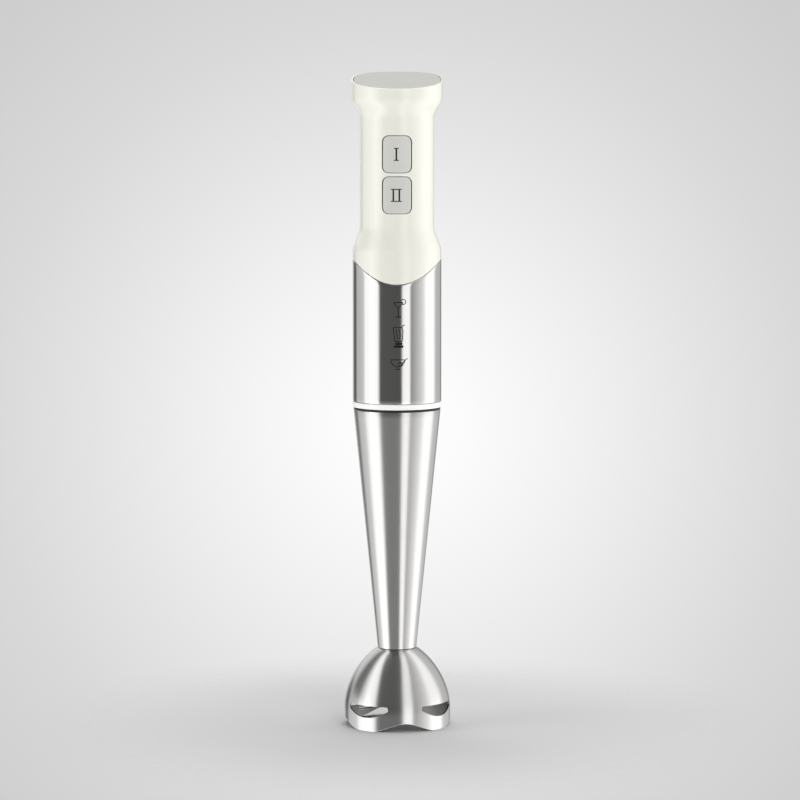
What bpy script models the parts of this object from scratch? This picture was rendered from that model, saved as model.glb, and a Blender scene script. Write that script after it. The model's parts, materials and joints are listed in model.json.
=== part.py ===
"""A stick blender: a motor unit with two push buttons, and a steel foot that twists off.

Metres, +Z up. The origin is on the long axis at the level the rim stands on. The buttons face -Y.
"""

import math

import bmesh
import bpy

GAP = 0.0003  # between pieces that touch
WELD = 0.00001  # merge distance
FINE = 40  # sides of the large round pieces outside
COARSE = 36  # sides of the large round pieces inside
MOTOR_SIDES = 28  # sides of the motor's housing and what follows it
SMALL = 20  # sides of the small round pieces

# Foot: bell, shaft and blade.
BELL_RADIUS = 0.0325
BELL_WALL = 0.0010
BELL_UPRIGHT = 0.0100  # the bell's wall is upright below this height
NECK_Z = 0.0474  # the crease where the bell meets the shaft
NECK_RADIUS = 0.0120
LOBES = 4
RIM_LIFT = 0.0053  # height of the rim's arches
RIM_BAND = 0.0078  # the arches fade out over this height
RIM_FLAT_DEG = 8.0  # half of the flat that each lobe stands on
FOOT_TURN_DEG = 9.0  # an arch's middle, from the front towards +X
SLOT_HALF_DEG = 26.0
SLOT_TOP = 0.0154
SLOT_ENDS = 0.0127
SLOT_LOW = 0.0081
SHAFT_LENGTH = 0.1462
SHAFT_WALL = 0.0008
SPINDLE_RADIUS = 0.0025
BLADE_RADIUS = 0.0235
BLADE_Z = 0.0118
BLADE_THICK = 0.0010

# Motor unit: collar, sleeve, handle and cap.
BODY_RADIUS = 0.0269  # of the sleeve
SEAL_HEIGHT = 0.0008
COLLAR_LIP = 0.0032  # the ring that shows below the sleeve
LIP_PROUD = 0.0002
SLEEVE_WALL = 0.0008
SLEEVE_LENGTH = 0.0862  # at the sides
EDGE_DIP = 0.0146  # how far the sleeve's top edge dips at the front and the back
HANDLE_WALL = 0.0022
WAIST_RADIUS = 0.0224
FLARE_TOP = 0.0205  # above the sleeve's side tips
FLARE_LOW = 0.0042
WAIST_LENGTH = 0.0646
SHOULDER = 0.0120  # height of the slope between waist and flange
FLANGE_RADIUS = 0.0275
FLANGE_HEIGHT = 0.0108  # on the axis
TOP_SLOPE_DEG = 10.9
REAR_POWER = 2.8  # the flange's rear half is fuller than a circle, whose power is 2
CAP_THICK = 0.0014
CAP_RIM = 0.0009  # the flange's rim around the cap

# Buttons, switches and board.
BUTTON_WIDTH = 0.0173
BUTTON_HEIGHT = 0.0219
BUTTON_CORNER = 0.0037
BUTTON_PITCH = 0.0245
BUTTON_PROUD = 0.0004
BUTTON_SLIT = 0.00045
BUTTON_TRAVEL = 0.0012
BUTTON_SEAL_WALL = 0.0010
RETAINER_LIP = 0.0013
SWITCH_SIZE = (0.0064, 0.0038, 0.0128)
PLUNGER_RADIUS = 0.0012
BOARD_THICK = 0.0016
BOARD_WIDTH = 0.0260
SCREW_SEAT = 0.0140  # how far behind the axis the case screws' heads sit
GLAND_NECK = 0.0042
GLAND_BORE = 0.0033

# Coupling between the foot and the motor unit.
SPIGOT_RADIUS = 0.0176
SPIGOT_WALL = 0.0018
SPIGOT_HEIGHT = 0.0107  # above the collar's lower face
SPIGOT_PLAY = 0.0004
LUG_REACH = 0.0028
LUG_HEIGHT = 0.0030
LUG_HALF_DEG = 12.0
LUG_PLAY_DEG = 4.0
LUGS = 3
LUG_TURN_DEG = 93.0  # of the first lug, from +X
LEDGE = 0.0060  # the bayonet's ledge
TWIST_DEG = 30.0
SOCKET_DEPTH = 0.0127
COUPLER_RADIUS = 0.0080
COUPLER_HUB = 0.0042
DOG_HALF_DEG = 20.0

# Motor.
BULKHEAD = 0.0040
MOTOR_RADIUS = 0.0185
MOTOR_LENGTH = 0.0500
MOTOR_WALL = 0.0015
MOUNT_HEIGHT = 0.0034
MAGNET_WALL = 0.0033
AIR_GAP = 0.0008
POLES = 5
MOTOR_SHAFT_RADIUS = 0.0016
BUSH_WALL = 0.0021
COMMUTATOR_RADIUS = 0.0045
BRUSH_HALF = 0.0020  # half of a brush's thickness
BRUSH_END = 0.0120  # how far from the axis a brush reaches
SCREW_CIRCLE = 0.0110

# Levels, worked out upwards from the floor.
SEAM_Z = NECK_Z + GAP + SHAFT_LENGTH
COLLAR_Z = SEAM_Z + GAP + SEAL_HEIGHT + GAP
SLEEVE_Z = COLLAR_Z + COLLAR_LIP + GAP
SLEEVE_TOP = SLEEVE_Z + SLEEVE_LENGTH
WAIST_Z = SLEEVE_TOP + FLARE_TOP
FLANGE_Z = WAIST_Z + WAIST_LENGTH + SHOULDER
TOP_Z = FLANGE_Z + FLANGE_HEIGHT
LEDGE_TOP_Z = TOP_Z - CAP_THICK - GAP
BULKHEAD_Z = COLLAR_Z + SOCKET_DEPTH
MOTOR_Z = BULKHEAD_Z + BULKHEAD + MOUNT_HEIGHT + 2 * GAP
MOTOR_TOP = MOTOR_Z + MOTOR_LENGTH
SKIRT_Z = SLEEVE_TOP - EDGE_DIP - 0.0085
BUTTON_MID = WAIST_Z + 0.0310  # midway between the two buttons
BUTTON_Z = (BUTTON_MID - BUTTON_PITCH / 2, BUTTON_MID + BUTTON_PITCH / 2)
CASE_SCREW_Z = (WAIST_Z - 0.0080, WAIST_Z + WAIST_LENGTH + 0.0052)
BOARD_SCREW_Z = (BUTTON_MID - 0.0295, BUTTON_MID + 0.0305)
GLAND_Z = FLANGE_Z + 0.0046

# Radii and depths that follow from the pieces around them.
CAP_PLUG = FLANGE_RADIUS - HANDLE_WALL
SKIRT_RADIUS = BODY_RADIUS - SLEEVE_WALL - GAP
SKIRT_INNER = SKIRT_RADIUS - 0.0018
SPINDLE_BORE = SPINDLE_RADIUS + GAP
LUG_RADIUS = SPIGOT_RADIUS + LUG_REACH
CHAMBER_RADIUS = LUG_RADIUS + SPIGOT_PLAY
LEDGE_Z = COLLAR_Z + LEDGE
SPIGOT_TOP = COLLAR_Z + SPIGOT_HEIGHT
SHAFT_TOP_RADIUS = BODY_RADIUS - 0.0005
MAGNET_OUTER = MOTOR_RADIUS - MOTOR_WALL - GAP
CORE_RADIUS = MAGNET_OUTER - MAGNET_WALL - AIR_GAP
SEAL_OUTER = WAIST_RADIUS - HANDLE_WALL - GAP
SEAL_INNER = SEAL_OUTER - BUTTON_SEAL_WALL
RETAINER_HALF = BUTTON_WIDTH / 2 + RETAINER_LIP
RETAINER_Y = -(math.sqrt(SEAL_INNER**2 - RETAINER_HALF**2) - GAP)
PLUNGER_Y = RETAINER_Y + 0.0010 + 0.0014 + GAP
SWITCH_Y = PLUNGER_Y + BUTTON_TRAVEL + 0.0006
BOARD_Y = SWITCH_Y + SWITCH_SIZE[1] + GAP
BOARD_BACK = BOARD_Y + BOARD_THICK

SIDES = {-1: "left", 1: "right"}

# Colour, roughness and metallic value of each material.
LOOKS = {
    "cream_plastic": ((0.80, 0.80, 0.74), 0.22, 0.0),
    "grey_plastic": ((0.56, 0.56, 0.52), 0.40, 0.0),
    "white_plastic": ((0.86, 0.86, 0.84), 0.30, 0.0),
    "black_rubber": ((0.02, 0.02, 0.02), 0.70, 0.0),
    "black_plastic": ((0.03, 0.03, 0.035), 0.45, 0.0),
    "nylon": ((0.78, 0.76, 0.70), 0.45, 0.0),
    "polished_steel": ((0.62, 0.61, 0.60), 0.12, 1.0),
    "brushed_steel": ((0.60, 0.59, 0.58), 0.28, 1.0),
    "blade_steel": ((0.66, 0.66, 0.66), 0.20, 1.0),
    "zinc_steel": ((0.55, 0.56, 0.57), 0.35, 1.0),
    "bronze": ((0.52, 0.36, 0.18), 0.45, 1.0),
    "copper": ((0.72, 0.34, 0.17), 0.35, 1.0),
    "ferrite": ((0.06, 0.06, 0.065), 0.65, 0.0),
    "laminated_iron": ((0.22, 0.22, 0.24), 0.50, 1.0),
    "carbon": ((0.03, 0.03, 0.03), 0.80, 0.0),
    "board_green": ((0.02, 0.16, 0.07), 0.50, 0.0),
    "red_insulation": ((0.55, 0.03, 0.03), 0.50, 0.0),
}


# ---------------------------------------------------------------- helpers


def clear_scene():
    for item in list(bpy.data.objects):
        bpy.data.objects.remove(item, do_unlink=True)


def new_collection(name):
    collection = bpy.data.collections.new(name)
    bpy.context.scene.collection.children.link(collection)
    return collection


def make_material(name):
    colour, roughness, metallic = LOOKS[name]
    material = bpy.data.materials.get(name) or bpy.data.materials.new(name)
    material.use_nodes = True
    shader = material.node_tree.nodes["Principled BSDF"]
    shader.inputs["Base Color"].default_value = (*colour, 1.0)
    shader.inputs["Roughness"].default_value = roughness
    shader.inputs["Metallic"].default_value = metallic
    return material


def add_object(name, data, look):
    """Links a piece to the parts, or a cutter to the cutters where look is None."""
    item = bpy.data.objects.new(name, data)
    if look is None:
        item.display_type = "WIRE"
        item.hide_render = True
        CUTTERS.objects.link(item)
    else:
        data.materials.append(make_material(look))
        PARTS.objects.link(item)
    return item


def smooth(item, degrees=35.0):
    item.data.shade_smooth()
    item.data.set_sharp_from_angle(angle=math.radians(degrees))


def turned(name, profile, look=None, steps=COARSE):
    """A solid of revolution about Z. The profile runs down its outer side.

    A profile that starts and ends on the axis is left open there, and any other is closed.
    """
    bm = bmesh.new()
    verts = [bm.verts.new((r, 0, z)) for r, z in profile]
    on_axis = profile[0][0] == 0 and profile[-1][0] == 0
    ends = zip(verts, verts[1:] if on_axis else verts[1:] + verts[:1])
    for a, b in ends:
        bm.edges.new((a, b))
    mesh = bpy.data.meshes.new(name)
    bm.to_mesh(mesh)
    bm.free()
    item = add_object(name, mesh, look)
    screw = item.modifiers.new("Turn", "SCREW")
    screw.steps = steps
    screw.render_steps = steps
    screw.use_merge_vertices = True
    screw.merge_threshold = WELD
    screw.use_smooth_shade = True
    return item


def block(name, low, high, look=None):
    bm = bmesh.new()
    bmesh.ops.create_cube(bm, size=1)
    for v in bm.verts:
        for i in range(3):
            v.co[i] = low[i] + (v.co[i] + 0.5) * (high[i] - low[i])
    mesh = bpy.data.meshes.new(name)
    bm.to_mesh(mesh)
    bm.free()
    return add_object(name, mesh, look)


def rod_y(name, x, z, y0, y1, radius, look=None, sides=16):
    """A cylinder along Y."""
    bm = bmesh.new()
    bmesh.ops.create_cone(
        bm, cap_ends=True, segments=sides, radius1=radius, radius2=radius, depth=y1 - y0
    )
    mesh = bpy.data.meshes.new(name)
    bm.to_mesh(mesh)
    bm.free()
    item = add_object(name, mesh, look)
    item.rotation_euler.x = math.radians(90)
    item.location = (x, (y0 + y1) / 2, z)
    return item


def bake(item):
    """Swaps a piece's modifiers or curve for the mesh they make, in world space."""
    bpy.context.view_layer.update()
    graph = bpy.context.evaluated_depsgraph_get()
    mesh = bpy.data.meshes.new_from_object(item.evaluated_get(graph))
    mesh.transform(item.matrix_world)
    bm = bmesh.new()
    bm.from_mesh(mesh)
    bmesh.ops.remove_doubles(bm, verts=bm.verts, dist=WELD)
    bm.to_mesh(mesh)
    bm.free()
    name = item.name
    collection = item.users_collection[0]
    hidden = item.hide_render
    bpy.data.objects.remove(item, do_unlink=True)
    solid = bpy.data.objects.new(name, mesh)
    solid.hide_render = hidden
    solid.display_type = "WIRE" if hidden else "TEXTURED"
    collection.objects.link(solid)
    return solid


def plate(name, outline, thickness, look=None):
    """A flat outline in X and Y, centred on Z = 0, as a mesh."""
    curve = bpy.data.curves.new(name, "CURVE")
    curve.dimensions = "2D"
    curve.fill_mode = "BOTH"
    curve.extrude = thickness / 2
    spline = curve.splines.new("POLY")
    spline.points.add(len(outline) - 1)
    for point, (x, y) in zip(spline.points, outline):
        point.co = (x, y, 0, 1)
    spline.use_cyclic_u = True
    return bake(add_object(name, curve, look))


def move_points(item, rule):
    """Moves each vertex of a baked piece to where the rule puts it."""
    for v in item.data.vertices:
        v.co = rule(*v.co)
    item.data.update()


def raise_by(item, height):
    move_points(item, lambda x, y, z: (x, y, z + height))


def polar(radius, degrees):
    angle = math.radians(degrees)
    return radius * math.cos(angle), radius * math.sin(angle)


def ring_sector(name, inner, outer, low, high, start, end, look=None):
    """A piece of a ring between two angles in degrees from +X."""
    count = max(2, round(abs(end - start) / 11))
    angles = [start + (end - start) * i / count for i in range(count + 1)]
    outline = [polar(outer, a) for a in angles] + [polar(inner, a) for a in reversed(angles)]
    item = plate(name, outline, high - low, look)
    raise_by(item, (low + high) / 2)
    return item


def rounded_outline(half_x, half_y, corner, steps=5):
    """A rectangle with round corners."""
    outline = []
    for index, (sx, sy) in enumerate(((1, 1), (-1, 1), (-1, -1), (1, -1))):
        for step in range(steps + 1):
            x, y = polar(corner, 90 * index + 90 * step / steps)
            outline.append((sx * (half_x - corner) + x, sy * (half_y - corner) + y))
    return outline


def boolean(item, other, operation):
    modifier = item.modifiers.new(other.name, "BOOLEAN")
    modifier.operation = operation
    modifier.object = other
    modifier.solver = "EXACT"


def cut(item, *cutters):
    for cutter in cutters:
        boolean(item, cutter, "DIFFERENCE")


def join(item, *others):
    for other in others:
        boolean(item, other, "UNION")


def ease(t):
    """A smooth step from 0 to 1."""
    t = min(1.0, max(0.0, t))
    return t * t * (3 - 2 * t)


def slope_points(r_top, z_top, r_low, z_low, count=4):
    """Points of a smooth S between two radii, from the top down."""
    points = []
    for i in range(count + 1):
        t = i / count
        points.append((r_top + (r_low - r_top) * ease(t), z_top + (z_low - z_top) * t))
    return points


def pivot(name, location, children):
    """An empty on a joint's axis, which carries the pieces that move with it."""
    empty = bpy.data.objects.new(name, None)
    empty.location = location
    PARTS.objects.link(empty)
    for child in children:
        child.parent = empty
        child.matrix_parent_inverse.identity()
        child.location = [a - b for a, b in zip(child.location, location)]


# ---------------------------------------------------------------- foot


def bell_outer(t):
    """The bell's outside from its neck to its upright wall, as a cubic arc."""
    ends = ((NECK_RADIUS, NECK_Z), (BELL_RADIUS, BELL_UPRIGHT))
    shoulder = (NECK_RADIUS + 0.0085, NECK_Z - 0.0054)
    side = (BELL_RADIUS, BELL_UPRIGHT + 0.0170)
    weights = ((1 - t) ** 3, 3 * t * (1 - t) ** 2, 3 * t * t * (1 - t), t**3)
    points = (ends[0], shoulder, side, ends[1])
    return tuple(sum(w * p[i] for w, p in zip(weights, points)) for i in (0, 1))


def bell_profile():
    """The outer wall down to the rim, and the inner wall back up."""
    count = 6
    outer = [bell_outer(i / count) for i in range(count + 1)]
    inner = []
    for i in range(count + 1):
        t = i / count
        r0, z0 = bell_outer(max(0, t - 0.01))
        r1, z1 = bell_outer(min(1, t + 0.01))
        length = math.hypot(r1 - r0, z1 - z0)
        r, z = bell_outer(t)
        inner.append((r + BELL_WALL * (z1 - z0) / length, z - BELL_WALL * (r1 - r0) / length))
    inner[0] = (NECK_RADIUS - BELL_WALL, NECK_Z)
    rim = [(BELL_RADIUS, RIM_BAND), (BELL_RADIUS, 0)]
    rim_inner = [(BELL_RADIUS - BELL_WALL, 0), (BELL_RADIUS - BELL_WALL, RIM_BAND)]
    return outer + rim + rim_inner + inner[::-1]


def rim_rule(x, y, z):
    """Lifts the rim into arches between the lobes that the bell stands on."""
    if z >= RIM_BAND:
        return x, y, z
    span = 360 / LOBES
    from_arch = (math.degrees(math.atan2(x, -y)) - FOOT_TURN_DEG + span / 2) % span - span / 2
    from_lobe = span / 2 - abs(from_arch)
    lift = RIM_LIFT * ease((from_lobe - RIM_FLAT_DEG) / (span / 2 - RIM_FLAT_DEG))
    return x, y, z + lift * (1 - z / RIM_BAND)


def lobe_angles():
    """The lobes' directions in degrees from +X."""
    return [-90 + FOOT_TURN_DEG + 360 / LOBES * (i + 0.5) for i in range(LOBES)]


def slot_cutter(index, degrees):
    """A window with a straight top, round ends and a bowed lower edge."""
    half = BELL_RADIUS * math.sin(math.radians(SLOT_HALF_DEG))
    top_corner = 0.0014
    outline = []
    for step in range(5):
        x, y = polar(top_corner, 90 * step / 4)
        outline.append((half - top_corner + x, SLOT_TOP - top_corner + y))
    outline += [(-x, y) for x, y in reversed(outline)]
    bow = []
    for step in range(9):
        t = -1 + 2 * step / 8
        bow.append((half * t, SLOT_LOW + (SLOT_ENDS - SLOT_LOW) * t * t))
    cutter = plate(f"slot_cutter_{index}", outline + bow, BELL_RADIUS)
    turn = math.radians(degrees)
    outward = BELL_RADIUS

    def rule(x, y, z):
        radial = outward + z
        return (
            radial * math.cos(turn) - x * math.sin(turn),
            radial * math.sin(turn) + x * math.cos(turn),
            y,
        )

    move_points(cutter, rule)
    return cutter


def make_bell():
    bell = bake(turned("bell_guard", bell_profile(), "brushed_steel", steps=FINE))
    move_points(bell, rim_rule)
    for index, degrees in enumerate(lobe_angles()):
        cut(bell, slot_cutter(index, degrees))
    smooth(bell)
    return bell


def shaft_radius(z):
    """The shaft's outside radius, which grows evenly from neck to seam."""
    low = NECK_RADIUS - 0.0002
    return low + (SHAFT_TOP_RADIUS - low) * (z - NECK_Z - GAP) / SHAFT_LENGTH


def make_shaft():
    low = NECK_Z + GAP
    profile = [
        (shaft_radius(SEAM_Z), SEAM_Z),
        (shaft_radius(low), low),
        (shaft_radius(low) - SHAFT_WALL, low),
        (shaft_radius(SEAM_Z) - SHAFT_WALL, SEAM_Z),
    ]
    return turned("shaft_tube", profile, "brushed_steel", steps=FINE)


def in_shaft(z):
    """The radius that a piece inside the shaft may have."""
    return shaft_radius(z) - SHAFT_WALL - GAP


def make_insert():
    """The plastic plug in the shaft's top, with the spigot and its three lugs."""
    low = SEAM_Z - 0.0079
    web = 0.0025
    hub = SPINDLE_RADIUS + BUSH_WALL + 0.0026
    hub_low = low - 0.0060
    hub_top = low + web + 0.0015
    top = SEAM_Z - GAP
    bore = SPINDLE_RADIUS + BUSH_WALL
    inner = SPIGOT_RADIUS - SPIGOT_WALL
    profile = [
        (SPIGOT_RADIUS, SPIGOT_TOP),
        (SPIGOT_RADIUS, top),
        (in_shaft(top), top),
        (in_shaft(low), low),
        (hub, low),
        (hub, hub_low),
        (bore, hub_low),
        (bore, hub_top),
        (hub, hub_top),
        (hub, low + web),
        (inner, low + web),
        (inner, SPIGOT_TOP),
    ]
    insert = turned("bayonet_insert", profile, "black_plastic", steps=COARSE)
    lug_low = LEDGE_Z + 0.0007
    for index in range(LUGS):
        middle = LUG_TURN_DEG + 360 * index / LUGS
        lug = ring_sector(
            f"lug_{index}", inner + 0.0008, LUG_RADIUS, lug_low, lug_low + LUG_HEIGHT,
            middle - LUG_HALF_DEG, middle + LUG_HALF_DEG,
        )
        join(insert, lug)
    return insert


def bush(name, low, high, radius):
    """A plain bush round a shaft of the given radius."""
    bore = radius + GAP
    outer = radius + BUSH_WALL - GAP
    profile = [(outer, high), (outer, low), (bore, low), (bore, high)]
    return turned(name, profile, "bronze", steps=SMALL)


def make_foot_bearings():
    hub_low = SEAM_Z - 0.0139
    upper = bush("upper_bushing", hub_low + 0.0004, hub_low + 0.0096, SPINDLE_RADIUS)
    holder_low = NECK_Z - 0.0074
    holder_top = NECK_Z + 0.0146
    holder_radius = NECK_RADIUS - BELL_WALL - 0.0004
    bore = SPINDLE_RADIUS + BUSH_WALL
    holder = turned(
        "bearing_holder",
        [
            (holder_radius, holder_top),
            (holder_radius, holder_low),
            (bore, holder_low),
            (bore, holder_top),
        ],
        "nylon",
        steps=COARSE,
    )
    lower = bush("lower_bushing", holder_low + 0.0030, holder_top - 0.0020, SPINDLE_RADIUS)
    return [upper, holder, lower]


def make_shaft_seal():
    """The lip seal under the lower bush, and the steel cup that holds it."""
    top = NECK_Z - 0.0077
    low = top - 0.0064
    wall = 0.0010
    cup_radius = 0.0093
    cup = turned(
        "seal_cup",
        [
            (cup_radius, top),
            (cup_radius, low),
            (SPINDLE_BORE + 0.0006, low),
            (SPINDLE_BORE + 0.0006, low + wall),
            (cup_radius - wall, low + wall),
            (cup_radius - wall, top),
        ],
        "brushed_steel",
        steps=COARSE,
    )
    seal_radius = cup_radius - wall - GAP
    seal_low = low + wall + GAP
    seal = turned(
        "shaft_seal",
        [
            (seal_radius, top),
            (seal_radius, seal_low),
            (SPINDLE_BORE, seal_low),
            (SPINDLE_BORE, seal_low + 0.0012),
            (SPINDLE_BORE + 0.0016, top),
        ],
        "black_rubber",
        steps=SMALL,
    )
    return [cup, seal]


def make_spindle():
    """The long drive rod, with a shoulder that the blade is clamped against."""
    blade_top = BLADE_Z + BLADE_THICK / 2 + GAP
    end = BLADE_Z - 0.0035
    shoulder = 0.0042
    tip = COLLAR_Z + 0.0044
    return turned(
        "spindle",
        [
            (0, tip),
            (SPINDLE_RADIUS, tip),
            (SPINDLE_RADIUS, blade_top + 0.0060),
            (shoulder, blade_top + 0.0045),
            (shoulder, blade_top),
            (SPINDLE_RADIUS, blade_top),
            (SPINDLE_RADIUS, end),
            (0, end),
        ],
        "blade_steel",
        steps=SMALL,
    )


def make_driven_coupler():
    """The plastic head on the spindle, with two arms that the motor's dogs push."""
    low = COLLAR_Z - 0.0023
    top = COLLAR_Z + 0.0059
    depth = COLLAR_Z + 0.0044 + GAP
    hub = turned(
        "driven_coupler",
        [(0, top), (COUPLER_HUB, top), (COUPLER_HUB, low), (SPINDLE_BORE, low),
         (SPINDLE_BORE, depth), (0, depth)],
        "black_plastic",
        steps=SMALL,
    )
    reach = COUPLER_RADIUS - 0.0006
    arm = block("coupler_arm", (-reach, -0.0015, top - 0.0036), (reach, 0.0015, top - 0.0001))
    socket = turned(
        "arm_clearance",
        [(0, depth + 0.0001), (SPINDLE_BORE, depth + 0.0001), (SPINDLE_BORE, low), (0, low)],
        steps=SMALL,
    )
    cut(arm, socket)
    join(hub, arm)
    return hub


def make_spindle_clip():
    """The clip that stops the spindle from dropping out of its bushes."""
    top = SEAM_Z - 0.0139 - GAP
    outer = SPINDLE_RADIUS + 0.0018
    low = top - 0.0008
    profile = [(outer, top), (outer, low), (SPINDLE_BORE, low), (SPINDLE_BORE, top)]
    return turned("spindle_clip", profile, "zinc_steel", steps=SMALL)


def blade_height(along):
    """Centre height of the blade's sheet: one wing climbs and the other dips."""
    hub = 0.0055
    beyond = max(0.0, abs(along) - hub)
    climb = 0.24 if along > 0 else -0.20
    return BLADE_Z + climb * beyond * ease(beyond / 0.004)


def make_blade():
    """Two curved wings in one sheet, on a round hub with a hole for the spindle."""
    columns = 24
    rows = 4
    bm = bmesh.new()
    bmesh.ops.create_grid(bm, x_segments=columns, y_segments=rows, size=1)
    for v in bm.verts:
        u, w = v.co.x, v.co.y
        along = BLADE_RADIUS * u
        half = 0.0062 - 0.0040 * abs(u) ** 1.6
        sweep = -0.0050 * u * abs(u)
        v.co = (along, sweep + half * w, blade_height(along) - BLADE_THICK / 2)
    mesh = bpy.data.meshes.new("blade")
    bm.to_mesh(mesh)
    bm.free()
    blade = add_object("blade", mesh, "blade_steel")
    sheet = blade.modifiers.new("Sheet", "SOLIDIFY")
    sheet.thickness = BLADE_THICK
    sheet.offset = 1
    hole = turned(
        "blade_hole",
        [(0, BLADE_Z + 0.004), (SPINDLE_BORE, BLADE_Z + 0.004), (SPINDLE_BORE, 0.002), (0, 0.002)],
        steps=SMALL,
    )
    cut(blade, hole)
    return blade


def make_blade_nut():
    """The hexagonal nut under the blade."""
    across = 0.0048
    top = BLADE_Z - BLADE_THICK / 2 - GAP
    low = top - 0.0034
    nut = plate("blade_nut", [polar(across, 60 * i) for i in range(6)], top - low, "blade_steel")
    raise_by(nut, (top + low) / 2)
    bore = turned(
        "nut_bore",
        [(0, 0.02), (SPINDLE_BORE, 0.02), (SPINDLE_BORE, 0.002), (0, 0.002)],
        steps=SMALL,
    )
    cut(nut, bore)
    return nut


# ---------------------------------------------------------------- coupling and collar


def make_seal_ring():
    """The dark ring in the seam, which lies on the shaft's rim."""
    low = SEAM_Z + GAP
    top = low + SEAL_HEIGHT
    inner = CHAMBER_RADIUS + 0.0001
    outer = SHAFT_TOP_RADIUS
    profile = [(outer, top), (outer, low), (inner, low), (inner, top)]
    return turned("seal_ring", profile, "black_rubber", steps=COARSE)


def make_collar():
    """The moulding that carries the motor, with the bayonet's socket below."""
    bore = SPIGOT_RADIUS + SPIGOT_PLAY
    passage = COUPLER_RADIUS + 0.0010
    floor = BULKHEAD_Z + BULKHEAD
    top = SKIRT_Z - GAP
    lip = BODY_RADIUS + LIP_PROUD
    profile = [
        (SKIRT_RADIUS, top),
        (SKIRT_RADIUS, COLLAR_Z + COLLAR_LIP),
        (lip, COLLAR_Z + COLLAR_LIP),
        (lip, COLLAR_Z + 0.0003),
        (lip - 0.0003, COLLAR_Z),
        (bore, COLLAR_Z),
        (bore, BULKHEAD_Z),
        (passage, BULKHEAD_Z),
        (passage, floor),
        (SKIRT_INNER, floor),
        (SKIRT_INNER, top),
    ]
    collar = turned("motor_collar", profile, "white_plastic", steps=COARSE)
    half = LUG_HALF_DEG + LUG_PLAY_DEG
    inner = bore - 0.0010
    for index in range(LUGS):
        middle = LUG_TURN_DEG + 360 * index / LUGS
        entry = ring_sector(
            f"entry_{index}", inner, CHAMBER_RADIUS, COLLAR_Z - 0.0030, LEDGE_Z + 0.0010,
            middle - half, middle + half,
        )
        chamber = ring_sector(
            f"chamber_{index}", inner, CHAMBER_RADIUS, LEDGE_Z, BULKHEAD_Z - 0.0004,
            middle - half - 1, middle + half + TWIST_DEG,
        )
        cut(collar, entry, chamber)
    for side in (-1, 1):
        cut(collar, *screw_hole(f"collar_{side}", side * SCREW_CIRCLE))
    return collar


def make_sleeve():
    """The polished tube round the collar, whose upper edge dips at front and back."""
    inner = BODY_RADIUS - SLEEVE_WALL
    top = SLEEVE_TOP + 0.0050
    profile = [(BODY_RADIUS, top), (BODY_RADIUS, SLEEVE_Z), (inner, SLEEVE_Z), (inner, top)]
    sleeve = turned("metal_sleeve", profile, "polished_steel", steps=FINE)
    cut(sleeve, edge_prism("above_sleeve", 0.0, 0.02))
    return sleeve


def edge_prism(name, offset, depth):
    """A prism along X whose one face is the sleeve's curved edge.

    With a positive depth it fills the space above the edge, and with a negative one below it.
    """
    reach = BODY_RADIUS * 1.3
    count = 24
    outline = []
    for i in range(count + 1):
        y = -reach + 2 * reach * i / count
        outline.append((y, SLEEVE_TOP + offset - EDGE_DIP * (y / BODY_RADIUS) ** 2))
    far = SLEEVE_TOP + depth if depth > 0 else SLEEVE_TOP - EDGE_DIP * 1.8 + depth
    outline += [(reach, far), (-reach, far)]
    prism = plate(name, outline, 2 * reach)
    move_points(prism, lambda x, y, z: (z, x, y))
    return prism


# ---------------------------------------------------------------- motor


def screw_hole(name, x):
    """Cutters for a motor screw: its clearance hole and the recess for its head."""
    recess = BULKHEAD_Z + 0.0022
    through = turned(
        f"{name}_hole",
        [(0, MOTOR_Z + 0.006), (0.0016, MOTOR_Z + 0.006), (0.0016, COLLAR_Z), (0, COLLAR_Z)],
        steps=16,
    )
    head = turned(
        f"{name}_recess",
        [(0, recess), (0.0031, recess), (0.0031, BULKHEAD_Z - 0.004), (0, BULKHEAD_Z - 0.004)],
        steps=20,
    )
    for cutter in (through, head):
        cutter.location.x = x
    return through, head


def make_motor_screws():
    top = BULKHEAD_Z + 0.0022 - GAP
    end = MOTOR_Z + MOTOR_WALL + 0.0020
    profile = [(0, end), (0.0013, end), (0.0013, top), (0.0027, top), (0.0027, top - 0.0016),
               (0, top - 0.0016)]
    for side, name in SIDES.items():
        screw = turned(f"motor_screw_{name}", profile, "zinc_steel", steps=12)
        screw.location.x = side * SCREW_CIRCLE


def make_motor_mount():
    """The rubber pad between the bulkhead and the motor."""
    low = BULKHEAD_Z + BULKHEAD + GAP
    top = low + MOUNT_HEIGHT
    outer = MOTOR_RADIUS - 0.0010
    inner = COUPLER_RADIUS - 0.0010
    profile = [(outer, top), (outer, low), (inner, low), (inner, top)]
    mount = turned("motor_mount", profile, "black_rubber", steps=SMALL)
    for side in (-1, 1):
        cut(mount, screw_hole(f"mount_{side}", side * SCREW_CIRCLE)[0])
    return mount


def make_motor_cradle():
    """The rubber ring that centres the motor's upper end in the collar."""
    top = SKIRT_Z - 0.0030
    low = top - 0.0050
    outer = SKIRT_INNER - GAP
    inner = MOTOR_RADIUS + GAP
    profile = [(outer, top), (outer, low), (inner, low), (inner, top)]
    return turned("motor_cradle", profile, "black_rubber", steps=MOTOR_SIDES)


def make_motor_can():
    inner = MOTOR_RADIUS - MOTOR_WALL
    hole = MOTOR_SHAFT_RADIUS + BUSH_WALL
    floor = MOTOR_Z + MOTOR_WALL
    profile = [
        (MOTOR_RADIUS, MOTOR_TOP),
        (MOTOR_RADIUS, MOTOR_Z + 0.0010),
        (MOTOR_RADIUS - 0.0010, MOTOR_Z),
        (hole, MOTOR_Z),
        (hole, floor),
        (inner, floor),
        (inner, MOTOR_TOP),
    ]
    can = turned("motor_can", profile, "zinc_steel", steps=MOTOR_SIDES)
    for side in (-1, 1):
        cut(can, screw_hole(f"can_{side}", side * SCREW_CIRCLE)[0])
    return can


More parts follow.
